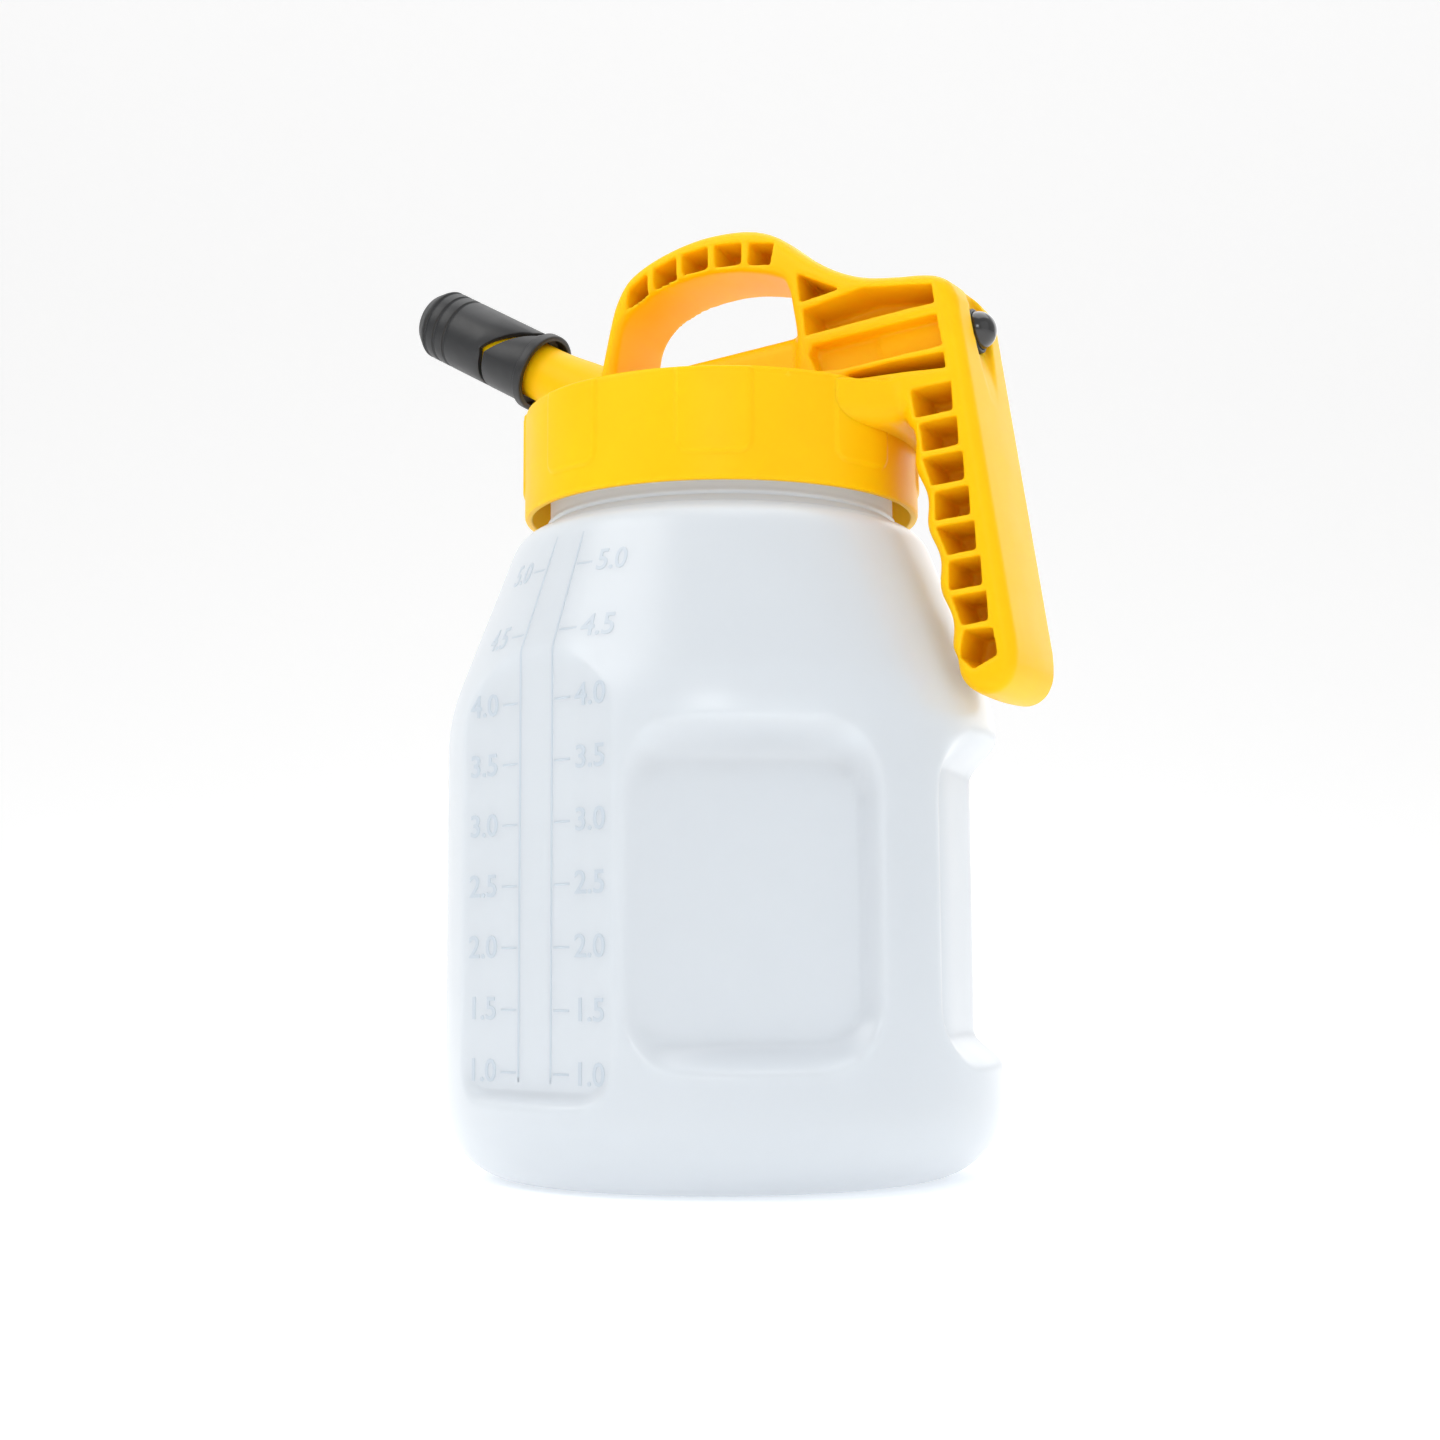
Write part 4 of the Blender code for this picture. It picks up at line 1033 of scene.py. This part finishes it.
def settle_on(field, low, cell, vertices, steps=2):
    """Move vertices onto the field's zero by its value over its slope, read from the grid."""
    slope = np.stack(np.gradient(field, cell), -1)
    for _ in range(steps):
        at = (vertices - low) / cell
        base = np.clip(np.floor(at).astype(int), 0, np.array(field.shape) - 2)
        part = at - base
        value = np.zeros(len(vertices))
        way = np.zeros((len(vertices), 3))
        for corner in np.ndindex(2, 2, 2):
            weight = np.prod(np.where(np.array(corner) == 1, part, 1 - part), 1)
            i, j, k = (base + corner).T
            value += weight * field[i, j, k]
            way += weight[:, None] * slope[i, j, k]
        size = np.maximum((way ** 2).sum(1), 0.3)
        vertices = vertices - np.clip(value / size, -0.3 * cell, 0.3 * cell)[:, None] * way
    return vertices


def build_moulding_mesh():
    """Work the field out on one half, mirror it across the middle plane and draw its skin."""
    cell = settings("moulding").cell / MM
    low = np.array([-51.0, 0.0, 154.0])
    count = np.ceil((np.array([121.0, 39.5, 333.0]) - low) / cell).astype(int)
    x, y, z = np.meshgrid(*[low[k] + cell * (np.arange(count[k]) + (0.5 if k == 1 else 0.0))
                            for k in range(3)], indexing="ij")
    half = moulding_field(x, y, z)
    field = np.concatenate([half[:, ::-1, :], half], 1)
    low = np.array([low[0], -cell * (count[1] - 0.5), low[2]])
    vertices, quads = grid_skin(field, low, cell)
    return settle_on(field, low, cell, vertices), quads


# ---------------------------------------------------------------- nozzle surfaces

def cam_height(turn):
    """Front edge of the collar: twice round, a high flat, a straight ramp and a low flat.

    Each step back up and each bend is rounded over a few degrees.
    """
    phase = (turn - CAM_START) % 180.0
    ramp = CAM_HIGH + (CAM_LOW - CAM_HIGH) * np.clip((phase - CAM_FLAT) / CAM_RAMP, 0, 1)
    step = (CAM_HIGH - CAM_LOW) * smooth_step(phase, 176.5, 179.5)
    return ramp + step


def cam_turns():
    """Angles of the cam's columns, close together at its bends and steps."""
    half = np.concatenate([np.linspace(0, 76, 20), np.linspace(77, 84, 10), np.linspace(86, 146, 26),
                           np.linspace(147, 153, 8), np.linspace(155, 175, 8), np.linspace(176, 179.8, 12)])
    return CAM_START + np.concatenate([half, half + 180.0])


def cam_points(rows, turns):
    """Loft rows of (radius, height for each turn) round the spout's axis."""
    angle = np.radians(turns)
    points = []
    for radius, height in rows:
        height = height + 0 * turns
        points.append(np.column_stack([-radius * np.sin(angle), radius * np.cos(angle), height]))
    return np.array(points)


def cam_piece(name, rows, body, replaced):
    """Make a ring whose closed section slides along the axis as it follows the cam."""
    turns = cam_turns()
    points = cam_points(rows, turns)[::-1]
    quads = ring_loop_quads(len(rows), len(turns))
    piece = mesh_piece(name, placed(points, SPOUT_AXES), quads[:, ::-1], body,
                       replaced, 38.0)
    outward = bmesh.new()
    outward.from_mesh(piece.data)
    bmesh.ops.recalc_face_normals(outward, faces=outward.faces)
    outward.to_mesh(piece.data)
    outward.free()
    finish_with(piece, "black")
    return piece


def collar_rows():
    """Section of the fixed collar: a rounded flange, a thin step and the cam edge."""
    front = cam_height(cam_turns())
    rear = rounded_profile([(10.9, 5.6), (10.9, 5.0), (13.0, 4.6, 0.5), (13.0, 0.0, 0.5),
                            (15.0, 0.0, 0.9), (15.0, 3.9, 0.8), (13.5, 3.9, 0.5), (13.5, 5.2)], 4)
    rows = [(r, z) for r, z in rear]
    rows += [(COLLAR_RADIUS, front - 0.7), (COLLAR_RADIUS - 0.2, front - 0.2),
             (COLLAR_RADIUS - 0.7, front), (11.3, front), (10.9, front - 0.4)]
    return rows


def sleeve_rows():
    """Section of the twist nozzle: cam edge, plain sleeve, three ring grooves, rounded nose, bore."""
    picked = settings("nozzle")
    turns = cam_turns()
    ahead = np.maximum(cam_height(turns), cam_height(turns + 1.6))
    phase = (turns - CAM_START) % 180.0
    on_ramp = smooth_step(phase, CAM_FLAT - 12.0, CAM_FLAT + 14.0) * (1 - smooth_step(phase, 138.0, 162.0))
    edge = np.maximum(ahead, cam_height(turns - 1.6)) + picked.cam_gap / MM * (1.0 + 1.1 * on_ramp)
    rows = [(11.2, edge + 0.4), (11.5, edge), (COLLAR_RADIUS - 0.7, edge),
            (COLLAR_RADIUS - 0.2, edge + 0.2), (COLLAR_RADIUS, edge + 0.7)]
    level = edge.max() + 2.5
    rows += [(COLLAR_RADIUS, level + 0 * edge)]
    depth = picked.groove / MM
    for groove in (41.0, 46.1, 50.7):
        for shift, cut in ((-1.1, 0.0), (-0.8, 0.08), (-0.45, 0.8), (0.0, 1.0), (0.45, 0.8), (0.8, 0.08),
                           (1.1, 0.0)):
            rows.append((COLLAR_RADIUS - cut * depth, groove + shift))
    nose = rounded_profile([(COLLAR_RADIUS, 51.9), (COLLAR_RADIUS - 0.45, 52.8, 3.0),
                            (10.4, NOZZLE_LENGTH - 1.8, 3.0), (8.2, NOZZLE_LENGTH, 1.0),
                            (5.6, NOZZLE_LENGTH, 0.6), (5.6, 54.0)], 6)
    rows += [(r, z) for r, z in nose]
    rows += [(5.6, 54.0), (11.2, 48.0), (11.2, 33.0), (12.4, 32.6), (12.4, 30.4), (11.2, 30.0)]
    return rows


# ---------------------------------------------------------------- operators

class DrumOperator(bpy.types.Operator):
    """Build the blow-moulded drum with its panels, hand recesses and thread."""
    bl_idname = "oil_container.drum"
    bl_label = "Build drum"

    def execute(self, context):
        vertices, quads = build_drum_mesh()
        drum = mesh_piece("drum_shell", vertices, quads, "drum_body", ["drum"])
        finish_with(drum, "drum")
        return {"FINISHED"}


class MarksOperator(bpy.types.Operator):
    """Raise the litre graduations on the drum's two flat panels."""
    bl_idname = "oil_container.marks"
    bl_label = "Build graduations"

    def execute(self, context):
        local, quads = build_marks()
        relief = settings("drum").mark_relief / MM
        for index, centre in enumerate(PANEL_AZIMUTHS):
            points = wrapped_relief(local, centre, relief)
            marks = mesh_piece("drum_graduations_%d" % (index + 1), points, quads, "drum_body",
                               sharp=50.0)
            finish_with(marks, "marks")
        return {"FINISHED"}


class LidOperator(bpy.types.Operator):
    """Build the screw lid with its thumb pads."""
    bl_idname = "oil_container.lid"
    bl_label = "Build lid"

    def execute(self, context):
        vertices, quads = build_lid_mesh()
        lid = mesh_piece("screw_lid", vertices, quads, "lid_body", ["lid_cap"], 50.0)
        finish_with(lid, "yellow")
        return {"FINISHED"}


class MouldingOperator(bpy.types.Operator):
    """Build the arch, bracket, rear grip and fairing as the one moulding they are."""
    bl_idname = "oil_container.moulding"
    bl_label = "Build handle moulding"

    def execute(self, context):
        vertices, quads = build_moulding_mesh()
        replaced = ["top_handle", "rear_bracket", "rear_grip", "spout_fairing"]
        handle = mesh_piece("handle_moulding", vertices, quads, "lid_body", replaced)
        finish_with(handle, "yellow")
        return {"FINISHED"}


class SpoutOperator(bpy.types.Operator):
    """Build the hollow spout that the collar and nozzle sit on."""
    bl_idname = "oil_container.spout"
    bl_label = "Build spout"

    def execute(self, context):
        s = np.linspace(-52.0, -2.0, 26)
        swell = 2.0 * smooth_step(-s, 2.0, 30.0) + 3.2 * smooth_step(-s, 22.0, 46.0)
        root = np.column_stack([SPOUT_RADIUS + swell, s])[::-1]
        tip = rounded_profile([(8.0, 43.0), (8.0, 44.0, 0.3), (SPOUT_RADIUS, 44.0, 0.8),
                               (SPOUT_RADIUS, 40.0)], 4)
        bore = np.column_stack([np.full(8, 8.0), np.linspace(-52.0, 40.0, 8)])
        profile = np.vstack([tip, root, bore])
        spout = turned_piece("spout", profile, SPOUT_AXES, 96, "lid_body",
                             ["spout_tube"])
        finish_with(spout, "yellow")
        return {"FINISHED"}


class NozzleOperator(bpy.types.Operator):
    """Build the fixed cam collar and the twist nozzle."""
    bl_idname = "oil_container.nozzle"
    bl_label = "Build nozzle"

    def execute(self, context):
        cam_piece("cam_collar", collar_rows(), "lid_body", ["spout_collar"])
        cam_piece("nozzle_sleeve", sleeve_rows(), "nozzle_body", ["twist_nozzle"])
        return {"FINISHED"}


class VentOperator(bpy.types.Operator):
    """Build the thumb button and its bush."""
    bl_idname = "oil_container.vent"
    bl_label = "Build vent button"

    def execute(self, context):
        radius = settings("vent").dome / MM
        turn = np.linspace(math.pi / 2, 0, 22)
        dome = np.column_stack([radius * np.cos(turn), -2.2 + radius * 0.985 * np.sin(turn)])
        dome[0, 0] = 0.0
        skirt = rounded_profile([(radius, -2.4), (radius, -6.5, 0.3), (0.0, -6.5)], 3)
        button = turned_piece("thumb_button", np.vstack([dome, skirt]), VENT_AXES, 72, "button_body",
                              ["vent_button"])
        finish_with(button, "button")
        section = rounded_profile([(7.2, -14.2), (6.7, -14.2), (6.7, -1.9, 0.2), (7.75, -1.9, 0.5),
                                   (7.75, -4.0, 0.2), (7.2, -4.0), (7.2, -16.2), (3.2, -16.2),
                                   (3.2, -14.2)], 3)[1:]
        bush = turned_piece("button_bush", section, VENT_AXES, 72, "lid_body",
                            ["vent_bush"])
        finish_with(bush, "black")
        return {"FINISHED"}


class HiddenPartsOperator(bpy.types.Operator):
    """Finish the seals, plug, stem, clip and spring that the working frame shows."""
    bl_idname = "oil_container.inner_parts"
    bl_label = "Finish inner parts"

    def execute(self, context):
        looks = {"lid_gasket": "rubber", "nozzle_o_ring": "rubber", "plug_o_ring": "rubber",
                 "vent_seal": "rubber", "shutoff_plug": "black", "vent_stem": "steel",
                 "stem_clip": "steel", "vent_spring": "steel"}
        for node, look in looks.items():
            finish_with(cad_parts[node], look)
        return {"FINISHED"}


class StageOperator(bpy.types.Operator):
    """Set the floor, the soft studio lights and the camera."""
    bl_idname = "oil_container.stage"
    bl_label = "Build stage"

    def execute(self, context):
        picked = settings("stage")
        build_floor(tuple(picked.floor))
        build_lights()
        build_camera(picked.distance, picked.lens)
        context.scene.view_settings.view_transform = "Standard"
        return {"FINISHED"}


def build_floor(tint):
    """Sweep a pale floor up into a backdrop behind the container."""
    bend, depth, tall, wide = 3.0, 6.0, 7.0, 12.0
    turn = np.linspace(0, math.pi / 2, 60)
    run = np.concatenate([np.linspace(-depth, -0.05, 40), bend * np.sin(turn), [bend]])
    rise = np.concatenate([np.zeros(40), bend * (1 - np.cos(turn)), [tall]])
    turned = math.radians(CAMERA_AZIMUTH)
    away = np.array([-math.sin(turned), math.cos(turned)])
    side = np.array([away[1], -away[0]])
    middle = away * 1.4
    vertices = []
    for u in (-wide, wide):
        for a, b in zip(run, rise):
            vertices.append((*(middle + away * a + side * u), b - 0.0002))
    count = len(run)
    faces = [(i, i + 1, count + i + 1, count + i) for i in range(count - 1)]
    mesh = bpy.data.meshes.new("floor")
    mesh.from_pydata(vertices, [], faces)
    mesh.shade_smooth()
    floor = bpy.data.objects.new("floor", mesh)
    bpy.context.scene.collection.objects.link(floor)
    material, _, shader, _ = new_material("floor_paper")
    shader.inputs["Base Color"].default_value = (*tint, 1.0)
    shader.inputs["Roughness"].default_value = 0.85
    shader.inputs["Specular IOR Level"].default_value = 0.15
    shader.inputs["Emission Color"].default_value = (1.0, 1.0, 1.0, 1.0)
    shader.inputs["Emission Strength"].default_value = 0.3
    floor.data.materials.append(material)


def area_light(name, place, aim, size, power, tint=(1.0, 1.0, 1.0)):
    """Add one soft rectangular light that faces a point."""
    data = bpy.data.lights.new(name, "AREA")
    data.shape = "RECTANGLE"
    data.size, data.size_y = size
    data.energy = power
    data.color = tint
    lamp = bpy.data.objects.new(name, data)
    lamp.location = place
    lamp.rotation_euler = (Vector(aim) - Vector(place)).to_track_quat("-Z", "Y").to_euler()
    bpy.context.scene.collection.objects.link(lamp)


def build_lights():
    """Light the container softly from above, from the left and from the front."""
    centre = (0.0, 0.0, 0.18)
    area_light("key_light", (-0.75, -1.15, 1.35), centre, (1.1, 1.1), 10.0, (1.0, 0.985, 0.96))
    area_light("fill_light", (1.5, -0.75, 0.75), centre, (1.4, 1.4), 2.2, (0.95, 0.975, 1.0))
    area_light("top_light", (0.1, 0.25, 1.9), centre, (1.8, 1.8), 16.0)
    area_light("back_light", (0.3, 1.35, 0.9), centre, (1.6, 1.2), 5.0)
    area_light("front_light", (0.46, -1.14, 0.56), centre, (0.3, 0.3), 1.4)
    world = bpy.data.worlds.new("studio")
    world.use_nodes = True
    world.node_tree.nodes["Background"].inputs["Color"].default_value = (1.0, 1.0, 1.0, 1.0)
    world.node_tree.nodes["Background"].inputs["Strength"].default_value = 0.6
    bpy.context.scene.world = world


def build_camera(distance, lens):
    """Stand the camera off the drum's front right side, a little above the floor, looking up."""
    degrees = (CAMERA_AZIMUTH, CAMERA_PITCH, CAMERA_YAW, CAMERA_ROLL)
    azimuth, pitch, yaw, roll = (math.radians(value) for value in degrees)
    place = Vector((distance * math.sin(azimuth), -distance * math.cos(azimuth), CAMERA_HEIGHT))
    ahead = Vector((-math.sin(azimuth + yaw), math.cos(azimuth + yaw), math.tan(pitch))).normalized()
    data = bpy.data.cameras.new("camera")
    data.sensor_width = 36.0
    data.lens = lens
    data.clip_start, data.clip_end = 0.01, 30.0
    camera = bpy.data.objects.new("camera", data)
    turn = ahead.to_track_quat("-Z", "Y").to_matrix() @ Matrix.Rotation(roll, 3, "Z")
    camera.matrix_world = Matrix.Translation(place) @ turn.to_4x4()
    bpy.context.scene.collection.objects.link(camera)
    bpy.context.scene.camera = camera


class ContainerPanel(bpy.types.Panel):
    """The container's settings and build buttons."""
    bl_idname = "VIEW3D_PT_oil_container"
    bl_label = "Oil container"
    bl_space_type = "VIEW_3D"
    bl_region_type = "UI"
    bl_category = "Oil container"

    def draw(self, context):
        for name, group in GROUPS.items():
            area = self.layout.box()
            for key in group.__annotations__:
                area.prop(getattr(context.scene, "oil_container_" + name), key)
        for operator in OPERATORS:
            self.layout.operator(operator.bl_idname)


GROUPS = {"drum": DrumSettings, "lid": LidSettings, "moulding": MouldingSettings,
          "nozzle": NozzleSettings, "vent": VentSettings, "stage": StageSettings}
OPERATORS = (DrumOperator, MarksOperator, LidOperator, MouldingOperator, SpoutOperator, NozzleOperator,
             VentOperator, HiddenPartsOperator, StageOperator)


def register():
    """Register the settings, operators and panel."""
    for name, group in GROUPS.items():
        bpy.utils.register_class(group)
        setattr(bpy.types.Scene, "oil_container_" + name, bpy.props.PointerProperty(type=group))
    for operator in OPERATORS:
        bpy.utils.register_class(operator)
    bpy.utils.register_class(ContainerPanel)


def unregister():
    """Take the panel, operators and settings away again."""
    bpy.utils.unregister_class(ContainerPanel)
    for operator in reversed(OPERATORS):
        bpy.utils.unregister_class(operator)
    for name, group in reversed(GROUPS.items()):
        delattr(bpy.types.Scene, "oil_container_" + name)
        bpy.utils.unregister_class(group)


def main():
    """Build the whole container."""
    register()
    bpy.ops.oil_container.drum()
    bpy.ops.oil_container.marks()
    bpy.ops.oil_container.lid()
    bpy.ops.oil_container.moulding()
    bpy.ops.oil_container.spout()
    bpy.ops.oil_container.nozzle()
    bpy.ops.oil_container.vent()
    bpy.ops.oil_container.inner_parts()
    bpy.ops.oil_container.stage()


if __name__ == "__main__":
    main()
